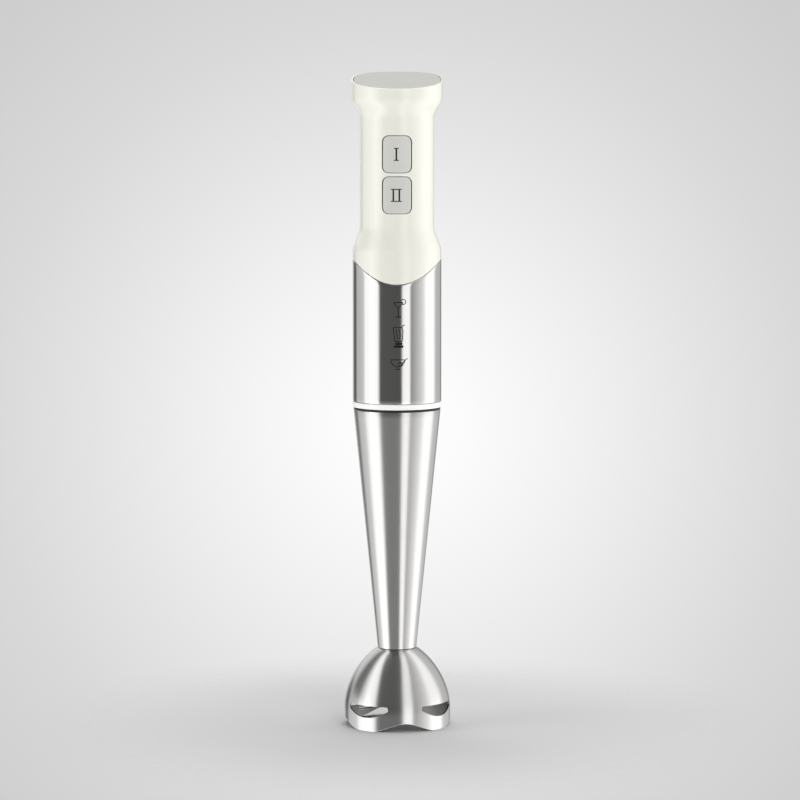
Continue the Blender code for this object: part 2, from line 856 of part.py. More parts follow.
def make_end_cap():
    """The plastic cover of the motor, with two guides for the brushes."""
    low = MOTOR_TOP + GAP
    plug = low - 0.0035
    plug_radius = MOTOR_RADIUS - MOTOR_WALL - GAP
    boss = 0.0062
    hole = MOTOR_SHAFT_RADIUS + BUSH_WALL
    profile = [
        (boss, low + 0.0075),
        (boss, low + 0.0030),
        (MOTOR_RADIUS, low + 0.0030),
        (MOTOR_RADIUS, low),
        (plug_radius, low),
        (plug_radius, plug),
        (hole + 0.0042, plug),
        (hole + 0.0042, low),
        (hole, low),
        (hole, low + 0.0075),
    ]
    cap = turned("motor_end_cap", profile, "black_plastic", steps=MOTOR_SIDES)
    for side in (-1, 1):
        guide = brush_box(f"guide_{side}", side, 0.0012, 0.0085, BRUSH_END + 0.0015)
        channel = brush_box(f"channel_{side}", side, GAP, COMMUTATOR_RADIUS, BRUSH_END + GAP)
        join(cap, guide)
        cut(cap, channel)
    return cap


def brush_box(name, side, margin, first, last, look=None):
    """A square block along X round a brush's centre line, between two radii."""
    middle = MOTOR_TOP - 0.0052
    half = BRUSH_HALF + margin
    ends = sorted((side * first, side * last))
    return block(name, (ends[0], -half, middle - half), (ends[1], half, middle + half), look)


def make_brushes():
    for side, name in SIDES.items():
        brush_box(f"brush_{name}", side, 0.0, COMMUTATOR_RADIUS + GAP, BRUSH_END, "carbon")


def make_magnets():
    low = MOTOR_Z + 0.0060
    high = low + 0.0340
    for side, name in SIDES.items():
        middle = 90 - 90 * side
        ring_sector(f"magnet_{name}", MAGNET_OUTER - MAGNET_WALL, MAGNET_OUTER, low, high,
                    middle - 66, middle + 66, "ferrite")


def core_outline():
    """A rotor with T-shaped poles, as one closed outline."""
    hub = 0.0055
    arm = 0.0020
    tip_inner = CORE_RADIUS - 0.0015
    half_tip = 27.0
    outline = []
    for index in range(POLES):
        middle = 360 * index / POLES
        root = math.degrees(math.asin(arm / hub))
        neck = math.degrees(math.asin(arm / tip_inner))
        outline.append(polar(hub, middle - root))
        outline.append(polar(tip_inner, middle - neck))
        outline.append(polar(tip_inner, middle - half_tip))
        for step in range(7):
            outline.append(polar(CORE_RADIUS, middle - half_tip + half_tip * step / 3))
        outline.append(polar(tip_inner, middle + half_tip))
        outline.append(polar(tip_inner, middle + neck))
        outline.append(polar(hub, middle + root))
    return outline


def make_armature():
    low = MOTOR_Z + 0.0100
    high = low + 0.0260
    bore = MOTOR_SHAFT_RADIUS + GAP
    core = plate("armature_core", core_outline(), high - low, "laminated_iron")
    raise_by(core, (low + high) / 2)
    hole = turned(
        "core_bore",
        [(0, high + 0.001), (bore, high + 0.001), (bore, low - 0.001), (0, low - 0.001)],
        steps=SMALL,
    )
    cut(core, hole)
    ring_inner = 0.0060
    ring_outer = CORE_RADIUS - 0.0018
    bottom = low - GAP - 0.0040
    top = high + GAP
    windings = turned("armature_windings", ring_profile(ring_inner, ring_outer, bottom), "copper",
                      steps=SMALL)
    upper = turned("winding_upper", ring_profile(ring_inner, ring_outer, top), steps=SMALL)
    join(windings, upper)
    wire = 0.0021
    for index in range(POLES):
        x, y = polar(0.0083, 360 * (index + 0.5) / POLES)
        bar = turned(
            f"winding_bar_{index}",
            [(0, top + 0.002), (wire, top + 0.002), (wire, bottom + 0.002), (0, bottom + 0.002)],
            steps=8,
        )
        bar.location.x = x
        bar.location.y = y
        join(windings, bar)
    return [core, windings]


def ring_profile(inner, outer, low, height=0.0040, corner=0.0010):
    """A ring whose outer edges are bevelled."""
    high = low + height
    return [
        (inner, high),
        (outer - corner, high),
        (outer, high - corner),
        (outer, low + corner),
        (outer - corner, low),
        (inner, low),
    ]


def make_commutator():
    low = MOTOR_TOP - 0.0088
    bore = MOTOR_SHAFT_RADIUS + GAP
    top = low + 0.0072
    profile = [(COMMUTATOR_RADIUS, top), (COMMUTATOR_RADIUS, low), (bore, low), (bore, top)]
    return turned("commutator", profile, "copper", steps=SMALL)


def make_motor_shaft():
    low = COLLAR_Z + 0.0093
    top = MOTOR_TOP + 0.0072
    r = MOTOR_SHAFT_RADIUS
    return turned("motor_shaft", [(0, top), (r, top), (r, low), (0, low)], "zinc_steel", steps=SMALL)


def make_motor_bushes():
    lower = bush("motor_bushing_lower", MOTOR_Z + 0.0002, MOTOR_Z + 0.0056, MOTOR_SHAFT_RADIUS)
    upper = bush("motor_bushing_upper", MOTOR_TOP + 0.0006, MOTOR_TOP + 0.0070, MOTOR_SHAFT_RADIUS)
    return [lower, upper]


def make_drive_coupler():
    """The motor's coupler: a disc on a hub, with two dogs that hang below it."""
    disc_low = COLLAR_Z + 0.0082
    disc_top = COLLAR_Z + 0.0114
    hub_top = BULKHEAD_Z + BULKHEAD - 0.0006
    bore = MOTOR_SHAFT_RADIUS + GAP
    depth = COLLAR_Z + 0.0093 - GAP
    hub = 0.0046
    coupler = turned(
        "drive_coupler",
        [(bore, hub_top), (hub, hub_top), (hub, disc_top), (COUPLER_RADIUS, disc_top),
         (COUPLER_RADIUS, disc_low), (0, disc_low), (0, depth), (bore, depth)],
        "nylon",
        steps=MOTOR_SIDES,
    )
    for index, middle in enumerate((90, 270)):
        dog = ring_sector(
            f"dog_{index}", COUPLER_HUB + 0.0005, COUPLER_RADIUS - 0.0001,
            COLLAR_Z + 0.0026, disc_low + 0.0010, middle - DOG_HALF_DEG, middle + DOG_HALF_DEG,
        )
        join(coupler, dog)
    return coupler


# ---------------------------------------------------------------- handle


def handle_profile():
    """The shell's outside from the flange down, and its inside back up."""
    skirt_wall = SKIRT_RADIUS - SKIRT_INNER
    flare_low = SLEEVE_TOP + FLARE_LOW
    shoulder_low = FLANGE_Z - SHOULDER
    outer = [(FLANGE_RADIUS - 0.0004, TOP_Z), (FLANGE_RADIUS, TOP_Z - 0.0004)]
    outer += slope_points(FLANGE_RADIUS, FLANGE_Z, WAIST_RADIUS, shoulder_low)
    outer += slope_points(WAIST_RADIUS, WAIST_Z, BODY_RADIUS, flare_low)
    outer += [(BODY_RADIUS, SKIRT_Z)]
    inner = [(SKIRT_INNER, SKIRT_Z), (SKIRT_INNER, flare_low - skirt_wall)]
    inner += slope_points(SKIRT_INNER, flare_low, WAIST_RADIUS - HANDLE_WALL, WAIST_Z, 3)
    inner += slope_points(WAIST_RADIUS - HANDLE_WALL, shoulder_low, CAP_PLUG, FLANGE_Z, 3)
    ledge = LEDGE_TOP_Z
    cap_seat = FLANGE_RADIUS - CAP_RIM
    return outer + inner + [(CAP_PLUG, ledge), (cap_seat, ledge), (cap_seat, TOP_Z)]


def shell_radius(z):
    """The shell's outside radius at a height."""
    if z < WAIST_Z:
        drop = (WAIST_Z - z) / (WAIST_Z - SLEEVE_TOP - FLARE_LOW)
        return WAIST_RADIUS + (BODY_RADIUS - WAIST_RADIUS) * ease(drop)
    return FLANGE_RADIUS + (WAIST_RADIUS - FLANGE_RADIUS) * ease((FLANGE_Z - z) / SHOULDER)


def boss_end(z, radius):
    """How far from the axis a boss may reach and stay inside the shell's wall."""
    return min(shell_radius(z - radius), shell_radius(z + radius)) - HANDLE_WALL / 2


def top_rule(x, y, z):
    """Slants the top, and fills out the rear half of the flange."""
    shoulder_low = FLANGE_Z - SHOULDER
    radius = math.hypot(x, y)
    if y > 0 and radius > 0:
        c, s = abs(x) / radius, y / radius
        full = (c**REAR_POWER + s**REAR_POWER) ** (-1 / REAR_POWER)
        grow = 1 + (full - 1) * ease((z - shoulder_low) / SHOULDER)
        x, y = x * grow, y * grow
    share = min(1.0, max(0.0, (z - FLANGE_Z) / (LEDGE_TOP_Z - FLANGE_Z)))
    return x, y, z + math.tan(math.radians(TOP_SLOPE_DEG)) * y * share


def handle_shell(name, side):
    """One half of the handle. The side is -1 for the front and +1 for the rear."""
    shell = bake(turned(name, handle_profile(), "cream_plastic", steps=FINE))
    move_points(shell, top_rule)
    step = turned(
        f"{name}_step",
        [(BODY_RADIUS * 1.2, SLEEVE_TOP + 0.01), (BODY_RADIUS * 1.2, SKIRT_Z - 0.01),
         (SKIRT_RADIUS, SKIRT_Z - 0.01), (SKIRT_RADIUS, SLEEVE_TOP + 0.01)],
        steps=FINE,
    )
    cut(step, edge_prism(f"{name}_above_edge", GAP, 0.02))
    cut(shell, step)
    reach = FLANGE_RADIUS * 2
    ends = sorted((side * GAP / 2, -side * reach))
    low, high = (-reach, ends[0], 0.0), (reach, ends[1], TOP_Z * 1.2)
    cut(shell, block(f"{name}_other_half", low, high))
    return shell


def button_block(name, half_x, half_z, corner, y0, y1, look=None):
    """A block with round corners that runs along Y, centred on X and Z."""
    item = plate(name, rounded_outline(half_x, half_z, corner), y1 - y0, look)
    middle = (y0 + y1) / 2
    move_points(item, lambda x, y, z: (x, z + middle, y))
    bm = bmesh.new()
    bm.from_mesh(item.data)
    bmesh.ops.reverse_faces(bm, faces=bm.faces)
    bm.to_mesh(item.data)
    bm.free()
    return item


def button_holes(name, margin):
    """Cutters for the two button openings, one at each button's height."""
    holes = []
    for index, z in enumerate(BUTTON_Z):
        hole = button_block(
            f"{name}_{index}", BUTTON_WIDTH / 2 + margin, BUTTON_HEIGHT / 2 + margin,
            BUTTON_CORNER + margin, -0.040, -0.005,
        )
        hole.location.z = z
        holes.append(hole)
    return holes


def make_handle_front():
    shell = handle_shell("handle_front", -1)
    cut(shell, *button_holes("window", BUTTON_SLIT))
    for index, z in enumerate(CASE_SCREW_Z):
        radius = 0.0034
        wall = -boss_end(z, radius)
        join(shell, rod_y(f"front_boss_{index}", 0, z, wall, -GAP / 2, radius))
        cut(shell, rod_y(f"front_pilot_{index}", 0, z, -0.0105, 0.010, 0.0018))
    for index, z in enumerate(BOARD_SCREW_Z):
        radius = 0.0024
        wall = -boss_end(z, radius)
        join(shell, rod_y(f"board_boss_{index}", 0, z, wall, BOARD_Y - GAP, radius))
        cut(shell, rod_y(f"board_pilot_{index}", 0, z, BOARD_Y - 0.0080, 0.0, 0.0014))
    return shell


def screw_bore(name, z):
    """A cutter along Y: a case screw's hole, which widens behind its seat for the head."""
    far = FLANGE_RADIUS * 1.5
    bore = turned(
        name,
        [(0, far), (0.0032, far), (0.0032, SCREW_SEAT), (0.0018, SCREW_SEAT), (0.0018, -0.01),
         (0, -0.01)],
        steps=18,
    )
    bore.rotation_euler.x = math.radians(-90)
    bore.location.z = z
    return bore


def make_handle_rear():
    shell = handle_shell("handle_rear", 1)
    for index, z in enumerate(CASE_SCREW_Z):
        radius = 0.0046
        join(shell, rod_y(f"rear_boss_{index}", 0, z, GAP / 2, boss_end(z, radius), radius))
        cut(shell, screw_bore(f"rear_bore_{index}", z))
    cut(shell, rod_y("gland_hole", 0, GLAND_Z, 0.015, 0.040, GLAND_NECK + GAP, sides=32))
    return shell


def screw_y(name, z, tip, seat, shank, head, head_height):
    """A screw along Y whose head sits on a seat and whose tip points to the front."""
    body = rod_y(name, 0, z, tip, seat + GAP + head_height / 2, shank, "zinc_steel", 12)
    join(body, rod_y(f"{name}_head", 0, z, seat + GAP, seat + GAP + head_height, head, sides=16))


def make_case_screws():
    for name, z in zip(("low", "high"), CASE_SCREW_Z):
        screw_y(f"case_screw_{name}", z, -0.0095, SCREW_SEAT, 0.0015, 0.0028, 0.0019)


def make_board_screws():
    for name, z in zip(("low", "high"), BOARD_SCREW_Z):
        screw_y(f"board_screw_{name}", z, BOARD_Y - 0.0060, BOARD_BACK, 0.0011, 0.0021, 0.0013)


def make_gland():
    """The bush in the rear wall that the lead passes through."""
    outer_face = FLANGE_RADIUS + GAP
    inner_face = CAP_PLUG - 0.0011
    profile = [
        (GLAND_BORE, outer_face + 0.0012),
        (0.0052, outer_face + 0.0012),
        (0.0058, outer_face + 0.0006),
        (0.0058, outer_face),
        (GLAND_NECK, outer_face),
        (GLAND_NECK, inner_face),
        (0.0054, inner_face),
        (0.0054, inner_face - 0.0012),
        (GLAND_BORE, inner_face - 0.0012),
    ]
    gland = turned("cord_gland", profile, "black_rubber", steps=SMALL)
    gland.rotation_euler.x = math.radians(-90)
    gland.location.z = GLAND_Z
    return gland


def make_top_cap():
    """The slanted cap, whose plug fits inside the flange."""
    top = TOP_Z
    edge = FLANGE_RADIUS - CAP_RIM - GAP
    plug = CAP_PLUG - GAP
    plug_low = TOP_Z - 0.0042
    wall = 0.0016
    profile = [
        (0, top),
        (edge - 0.0005, top),
        (edge, top - 0.0005),
        (edge, top - CAP_THICK),
        (plug, top - CAP_THICK),
        (plug, plug_low),
        (plug - wall, plug_low),
        (plug - wall, top - CAP_THICK - 0.0008),
        (0, top - CAP_THICK - 0.0008),
    ]
    cap = bake(turned("top_cap", profile, "grey_plastic", steps=FINE))
    slope = math.tan(math.radians(TOP_SLOPE_DEG))

    def rule(x, y, z):
        px, py, _ = top_rule(x, y, TOP_Z)
        return px, py, z + slope * py

    move_points(cap, rule)
    smooth(cap)
    return cap


def make_button(name, z):
    """A key that follows the handle's curve, with a retaining flange and a stem."""
    front = -(WAIST_RADIUS + 0.010)
    key = button_block(
        name, BUTTON_WIDTH / 2, BUTTON_HEIGHT / 2, BUTTON_CORNER, front, RETAINER_Y, "grey_plastic"
    )
    outer = WAIST_RADIUS + BUTTON_PROUD
    half = BUTTON_HEIGHT
    curve = turned(f"{name}_curve", [(0, half), (outer, half), (outer, -half), (0, -half)], steps=96)
    boolean(key, curve, "INTERSECT")
    back = RETAINER_Y + 0.0010
    retainer = button_block(
        f"{name}_retainer", RETAINER_HALF, BUTTON_HEIGHT / 2 + 0.0008, BUTTON_CORNER,
        RETAINER_Y - 0.00005, back,
    )
    stem = rod_y(f"{name}_stem", 0, 0, back - 0.0003, PLUNGER_Y - GAP, 0.0022)
    join(key, retainer, stem)
    for item in (key, curve, retainer, stem):
        item.location.z += z
    pivot(f"{name}_axis", (0, 0, z), [key])
    return key


def make_button_seal():
    """The dark rubber sheet behind the openings."""
    reach = BUTTON_PITCH / 2 + BUTTON_HEIGHT / 2 + 0.0028
    low = BUTTON_MID - reach
    high = BUTTON_MID + reach
    half = RETAINER_HALF + 0.0022
    angle = math.degrees(math.asin(half / SEAL_OUTER))
    sheet = ring_sector("button_seal", SEAL_INNER, SEAL_OUTER, low, high, -90 - angle, -90 + angle,
                        "black_rubber")
    cut(sheet, *button_holes("seal_window", GAP))
    return sheet


def make_board():
    low = BOARD_SCREW_Z[0] - 0.0036
    high = BOARD_SCREW_Z[1] + 0.0036
    half = BOARD_WIDTH / 2
    board = block("control_board", (-half, BOARD_Y, low), (half, BOARD_BACK, high), "board_green")
    for index, z in enumerate(BOARD_SCREW_Z):
        cut(board, rod_y(f"board_hole_{index}", 0, z, BOARD_Y - 0.01, BOARD_BACK + 0.01, 0.0014))
    return board


def make_switch(name, z):
    width, depth, height = SWITCH_SIZE
    body = block(
        f"{name}_switch", (-width / 2, SWITCH_Y, z - height / 2),
        (width / 2, SWITCH_Y + depth, z + height / 2), "black_plastic",
    )
    bore = rod_y(f"{name}_bore", 0, z, SWITCH_Y - 0.01, SWITCH_Y + 0.0030, PLUNGER_RADIUS + GAP)
    cut(body, bore)
    tip = SWITCH_Y + 0.0012
    plunger = rod_y(f"{name}_plunger", 0, z, PLUNGER_Y, tip, PLUNGER_RADIUS, "white_plastic", 16)
    return [body, plunger]


def make_board_parts():
    """What sits on the board's rear face."""
    face = BOARD_BACK + GAP
    radius = 0.0050
    z = BUTTON_MID - 0.0060
    capacitor = turned(
        "filter_capacitor",
        [(0, 0.0085), (radius - 0.0006, 0.0085), (radius, 0.0079), (radius, -0.0085), (0, -0.0085)],
        "black_plastic",
        steps=SMALL,
    )
    capacitor.location = (0, face + radius, z)
    low = BUTTON_MID + 0.0080
    rectifier = block("rectifier", (-0.0060, face, low), (0.0060, face + 0.0040, low + 0.0120),
                      "black_plastic")
    choke_z = BUTTON_MID - 0.0205
    choke = turned("suppression_choke", ring_profile(0.0020, 0.0046, -0.0020), "copper", steps=SMALL)
    choke.rotation_euler.x = math.radians(90)
    choke.location = (0.0070, face + 0.0022, choke_z)
    return [capacitor, rectifier, choke]


def make_lead(name, x, look):
    """A lead from the motor's cover to the board, clear of the case screws' bosses."""
    start = (x * 0.9, 0.0060, MOTOR_TOP + 0.0040)
    end = (x, BOARD_BACK + 0.0015, BOARD_SCREW_Z[0] + 0.0010)
    bend = (x * 1.5, 0.0110, (start[2] + end[2]) / 2)
    curve = bpy.data.curves.new(name, "CURVE")
    curve.dimensions = "3D"
    curve.bevel_depth = 0.0008
    curve.bevel_resolution = 2
    curve.use_fill_caps = True
    count = 12
    spline = curve.splines.new("POLY")
    spline.points.add(count)
    for i, point in enumerate(spline.points):
        t = i / count
        weights = ((1 - t) ** 2, 2 * t * (1 - t), t * t)
        where = [sum(w * p[k] for w, p in zip(weights, (start, bend, end))) for k in range(3)]
        point.co = (*where, 1)
    return bake(add_object(name, curve, look))


# ---------------------------------------------------------------- assembly


def make_foot():
    """What stands on the floor, with the blade's drive under an empty of its own."""
    make_seal_ring()
    make_bell()
    make_shaft()
    make_insert()
    make_foot_bearings()
    make_shaft_seal()
    turning = [make_spindle(), make_driven_coupler(), make_spindle_clip()]
    turning += [make_blade(), make_blade_nut()]
    pivot("spindle_axis", (0, 0, 0), turning)


def make_motor():
    make_motor_can()
    make_end_cap()
    make_magnets()
    make_brushes()
    make_motor_bushes()
    make_motor_mount()
    make_motor_cradle()
    make_motor_screws()
    turning = [*make_armature(), make_commutator(), make_motor_shaft(), make_drive_coupler()]
    pivot("motor_axis", (0, 0, 0), turning)


def make_handle():
    make_handle_front()
    make_handle_rear()
    make_top_cap()
    make_gland()
    make_case_screws()
    make_button_seal()
    for name, z in zip(("button_two", "button_one"), BUTTON_Z):
        make_button(name, z)
        make_switch(name.replace("button", "speed"), z)


def make_electrics():
    make_board()
    make_board_screws()
    make_board_parts()
    make_lead("lead_red", -0.0085, "red_insulation")
    make_lead("lead_black", 0.0085, "black_plastic")


def make_motor_unit():
    """What twists and lifts off the foot, all under one empty on the long axis."""
    foot = {item.name for item in PARTS.objects}
    make_collar()
    make_sleeve()
    make_motor()
    make_handle()
    make_electrics()
    lifted = [item for item in PARTS.objects if item.name not in foot and item.parent is None]
    pivot("motor_unit_axis", (0, 0, 0), lifted)


clear_scene()
PARTS = new_collection("immersion_blender")
CUTTERS = new_collection("cutters")
make_foot()
make_motor_unit()
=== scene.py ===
# %% [markdown]
# # A stick blender, dressed for the camera
#
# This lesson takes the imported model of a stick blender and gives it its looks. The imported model, which
# is called the frame below, holds every piece at its real place and size, as plain faceted solids.
# What shows on the outside is modelled again here with a smooth surface, and the rest gets a finish of
# its own. Everything is in metres, with +Z up and the buttons facing -Y.

# %% Load the frame and keep its box
import json
import math

import bmesh
import bpy
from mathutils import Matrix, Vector

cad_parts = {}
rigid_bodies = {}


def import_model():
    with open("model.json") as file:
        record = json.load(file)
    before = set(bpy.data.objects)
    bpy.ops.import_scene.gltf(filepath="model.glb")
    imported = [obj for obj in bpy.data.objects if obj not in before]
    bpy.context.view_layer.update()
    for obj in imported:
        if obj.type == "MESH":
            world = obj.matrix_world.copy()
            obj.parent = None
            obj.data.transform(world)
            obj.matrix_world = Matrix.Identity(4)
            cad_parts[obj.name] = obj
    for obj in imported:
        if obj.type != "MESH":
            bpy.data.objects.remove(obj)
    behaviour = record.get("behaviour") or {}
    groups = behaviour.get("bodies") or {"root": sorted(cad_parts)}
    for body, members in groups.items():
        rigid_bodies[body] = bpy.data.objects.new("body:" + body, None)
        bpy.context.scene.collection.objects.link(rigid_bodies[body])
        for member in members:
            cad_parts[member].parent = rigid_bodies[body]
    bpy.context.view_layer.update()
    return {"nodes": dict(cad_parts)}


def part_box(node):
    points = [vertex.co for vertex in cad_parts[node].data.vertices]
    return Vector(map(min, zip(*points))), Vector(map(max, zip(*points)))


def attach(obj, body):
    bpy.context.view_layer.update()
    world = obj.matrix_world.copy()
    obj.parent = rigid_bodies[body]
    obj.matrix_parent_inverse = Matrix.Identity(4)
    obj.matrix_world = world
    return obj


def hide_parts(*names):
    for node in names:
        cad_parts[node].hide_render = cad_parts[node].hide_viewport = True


for item in list(bpy.data.objects):
    bpy.data.objects.remove(item, do_unlink=True)
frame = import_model()
nodes = frame["nodes"]

# %% [markdown]
# ## Levels and radii
#
# The places all come from the frame. Only the sizes that a box can't show, such as a wall or the sweep
# of a curve, are written down as values of their own.

# %% Read the frame's levels
MM = 0.001
GAP = 0.3 * MM


def low(node):
    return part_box(node)[0]


def high(node):
    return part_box(node)[1]


BODY_R = high("metal_sleeve").x
SLEEVE_Z = low("metal_sleeve").z
SLEEVE_TOP = high("metal_sleeve").z
SKIRT_Z = low("handle_front").z
COLLAR_Z = low("motor_collar").z
LIP_R = high("motor_collar").x
FLANGE_R = high("handle_front").x
NECK_Z = low("shaft_tube").z - GAP
SEAM_Z = high("shaft_tube").z
SHAFT_R = high("shaft_tube").x
BELL_R = high("bell_guard").x
BUTTON_Z = {name: (low(name).z + high(name).z) / 2 for name in ("button_one", "button_two")}
GLAND_Z = (low("cord_gland").z + high("cord_gland").z) / 2
print("body radius", round(BODY_R / MM, 2), "bell radius", round(BELL_R / MM, 2), "mm")

# %% Sizes that a box can't show
SLEEVE_WALL = 0.8 * MM
EDGE_DIP = 14.6 * MM  # of the sleeve's top edge at the front and the back
HANDLE_WALL = 2.2 * MM
WAIST_R = 22.4 * MM
FLARE_LOW = SLEEVE_TOP + 4.2 * MM
WAIST_Z = SLEEVE_TOP + 20.5 * MM
SHOULDER_Z = WAIST_Z + 64.6 * MM
SHOULDER = 12.0 * MM
FLANGE_Z = SHOULDER_Z + SHOULDER
TOP_Z = FLANGE_Z + 10.8 * MM  # of the slanted top, on the axis
CAP_RIM = 0.9 * MM
CAP_THICK = 1.4 * MM
CAP_SEAT = TOP_Z - CAP_THICK - GAP
CAP_PLUG = FLANGE_R - HANDLE_WALL
SLOPE = math.tan(math.radians(10.9))
REAR_POWER = 2.8  # the flange's rear half is fuller than a circle, whose power is 2
SKIRT_R = BODY_R - SLEEVE_WALL - GAP
SKIRT_INNER = SKIRT_R - 1.8 * MM
NECK_R = 12.0 * MM
SHAFT_NECK_R = NECK_R - 0.2 * MM
SHAFT_WALL = 0.8 * MM
BELL_WALL = 1.0 * MM
ROUND = 144  # sides of a turned piece
LARGE = 192  # sides of a turned piece whose outline shows large
print("waist from", round(WAIST_Z, 4), "to", round(SHOULDER_Z, 4))

# %% [markdown]
# ## Camera, floor and light
#
# The blender stands on a seamless pale sheet and is seen from a little above, through a long lens,
# which keeps its sides nearly parallel. The camera comes first, because everything else is judged
# through it.

# %% Camera
CAMERA_AT = Vector((1.8 * MM, -2.137, 0.400))
AIM_AT = Vector((1.8 * MM, 0.0, 0.1991))
FOCAL_LENGTH = 158.8  # in millimetres, for a sensor 36 mm wide

lens = bpy.data.cameras.new("camera")
lens.lens = FOCAL_LENGTH
lens.sensor_width = 36.0
camera = bpy.data.objects.new("camera", lens)
bpy.context.scene.collection.objects.link(camera)
camera.location = CAMERA_AT
camera.rotation_euler = (AIM_AT - CAMERA_AT).to_track_quat("-Z", "Y").to_euler()
bpy.context.scene.camera = camera
bpy.context.scene.view_settings.view_transform = "Standard"
view = AIM_AT - CAMERA_AT
print("camera looks down by", round(math.degrees(math.atan2(-view.z, view.y)), 2), "degrees")

# %% [markdown]
# Every material and the world are built from nodes. One small helper adds a node, sets its values and
# links its inputs, so that each recipe below reads as a list of steps.

# %% A helper for node recipes
def add_node(tree, kind, settings=None, **inputs):
    """Adds a node. An input is a plain value, or the output socket of another node."""
    node = tree.nodes.new(kind)
    for key, value in (settings or {}).items():
        setattr(node, key, value)
    for key, value in inputs.items():
        socket = node.inputs[int(key[1:])] if key[1:].isdigit() else node.inputs[key.replace("_", " ")]
        if isinstance(value, bpy.types.NodeSocket):
            tree.links.new(value, socket)
        else:
            socket.default_value = value
    return node


def maths(tree, operation, *values):
    settings = {"operation": operation}
    inputs = {f"_{index}": value for index, value in enumerate(values)}
    return add_node(tree, "ShaderNodeMath", settings, **inputs).outputs[0]


def ramp(tree, factor, stops, interpolation="LINEAR"):
    """A colour ramp. Each stop is a place from 0 to 1, and a grey value or a colour."""
    node = add_node(tree, "ShaderNodeValToRGB", Fac=factor)
    band = node.color_ramp
    band.interpolation = interpolation
    while len(band.elements) < len(stops):
        band.elements.new(0.5)
    for element, (place, tone) in zip(band.elements, stops):
        element.position = place
        element.color = (tone, tone, tone, 1) if isinstance(tone, float) else (*tone, 1)
    return node.outputs["Color"]


def blend_colour(tree, share, first, second):
    """Mixes two colours by a share. Each is a triple or a colour socket."""
    mix = add_node(tree, "ShaderNodeMix", {"data_type": "RGBA"}, _0=share)
    for index, tone in ((6, first), (7, second)):
        if isinstance(tone, bpy.types.NodeSocket):
            tree.links.new(tone, mix.inputs[index])
        else:
            mix.inputs[index].default_value = (*tone, 1.0)
    return mix.outputs[2]


print("node helpers ready")

# %% [markdown]
# Polished steel has no colour of its own: it shows the studio. The studio here is a dark hall with
# tall softboxes round the object. It is painted into the world by compass direction, so a curved wall
# of steel shows them as clean upright bands. The bands lean in overhead, so that they run on over the
# bell's shoulder, and below eye level the pale table lifts them. What the camera itself sees behind
# the blender is a plain pale backdrop with a soft glow, which the softboxes don't light.
#
# A height in the hall is given as the sine of its angle above eye level, because that is the upright
# part of a direction of length 1.

# %% The studio round the object
# Degrees from the front, towards +X, and the light from there at eye level and from higher up.
STUDIO = (
    (-180, 0.70, 0.90), (-154, 0.60, 0.95), (-150, 0.15, 0.95), (-134, 0.18, 0.85), (-129, 0.70, 0.60),
    (-120, 0.75, 0.20), (-98, 0.90, 0.24), (-91, 1.60, 0.70), (-77, 1.60, 1.50), (-74, 2.90, 1.65),
    (-66, 2.90, 1.65), (-63, 1.65, 1.55), (-52, 1.62, 1.50), (-44, 0.13, 0.15), (10, 0.11, 0.14),
    (16, 1.50, 1.35), (32, 1.60, 1.40), (37, 0.42, 0.50), (70, 1.10, 1.00), (82, 1.70, 1.50),
    (108, 1.75, 1.50), (121, 0.80, 0.80), (150, 0.62, 0.70), (158, 0.25, 0.40), (170, 0.40, 0.50),
    (180, 0.70, 0.70),
)
BRIGHTEST = 3.5  # a colour ramp stops at 1, so the bands are kept as shares of this
LEAN = 0.55  # how far the hall's bands lean in over the object
LEAN_POWER = 3.5  # the higher, the later they lean
BANDS_CHANGE = (0.04, 0.24)  # heights between which the higher bands take over
TABLE = (-0.10, -0.32)  # heights between which the table's light comes up
TABLE_LIGHT = 0.28
GLOW_DOWN = math.radians(5.77)  # of the glow's middle
GLOW_REACH = math.radians(20)
GLOW = ((0.0, 0.990), (0.05, 0.970), (0.105, 0.92), (0.165, 0.86), (0.245, 0.775), (0.33, 0.695),
        (0.45, 0.62), (1.0, 0.60))  # shares of that reach, and the backdrop's tone there


def studio_ramp(tree, place, column):
    return ramp(tree, place, [((row[0] + 180) / 360, row[column] / BRIGHTEST) for row in STUDIO])


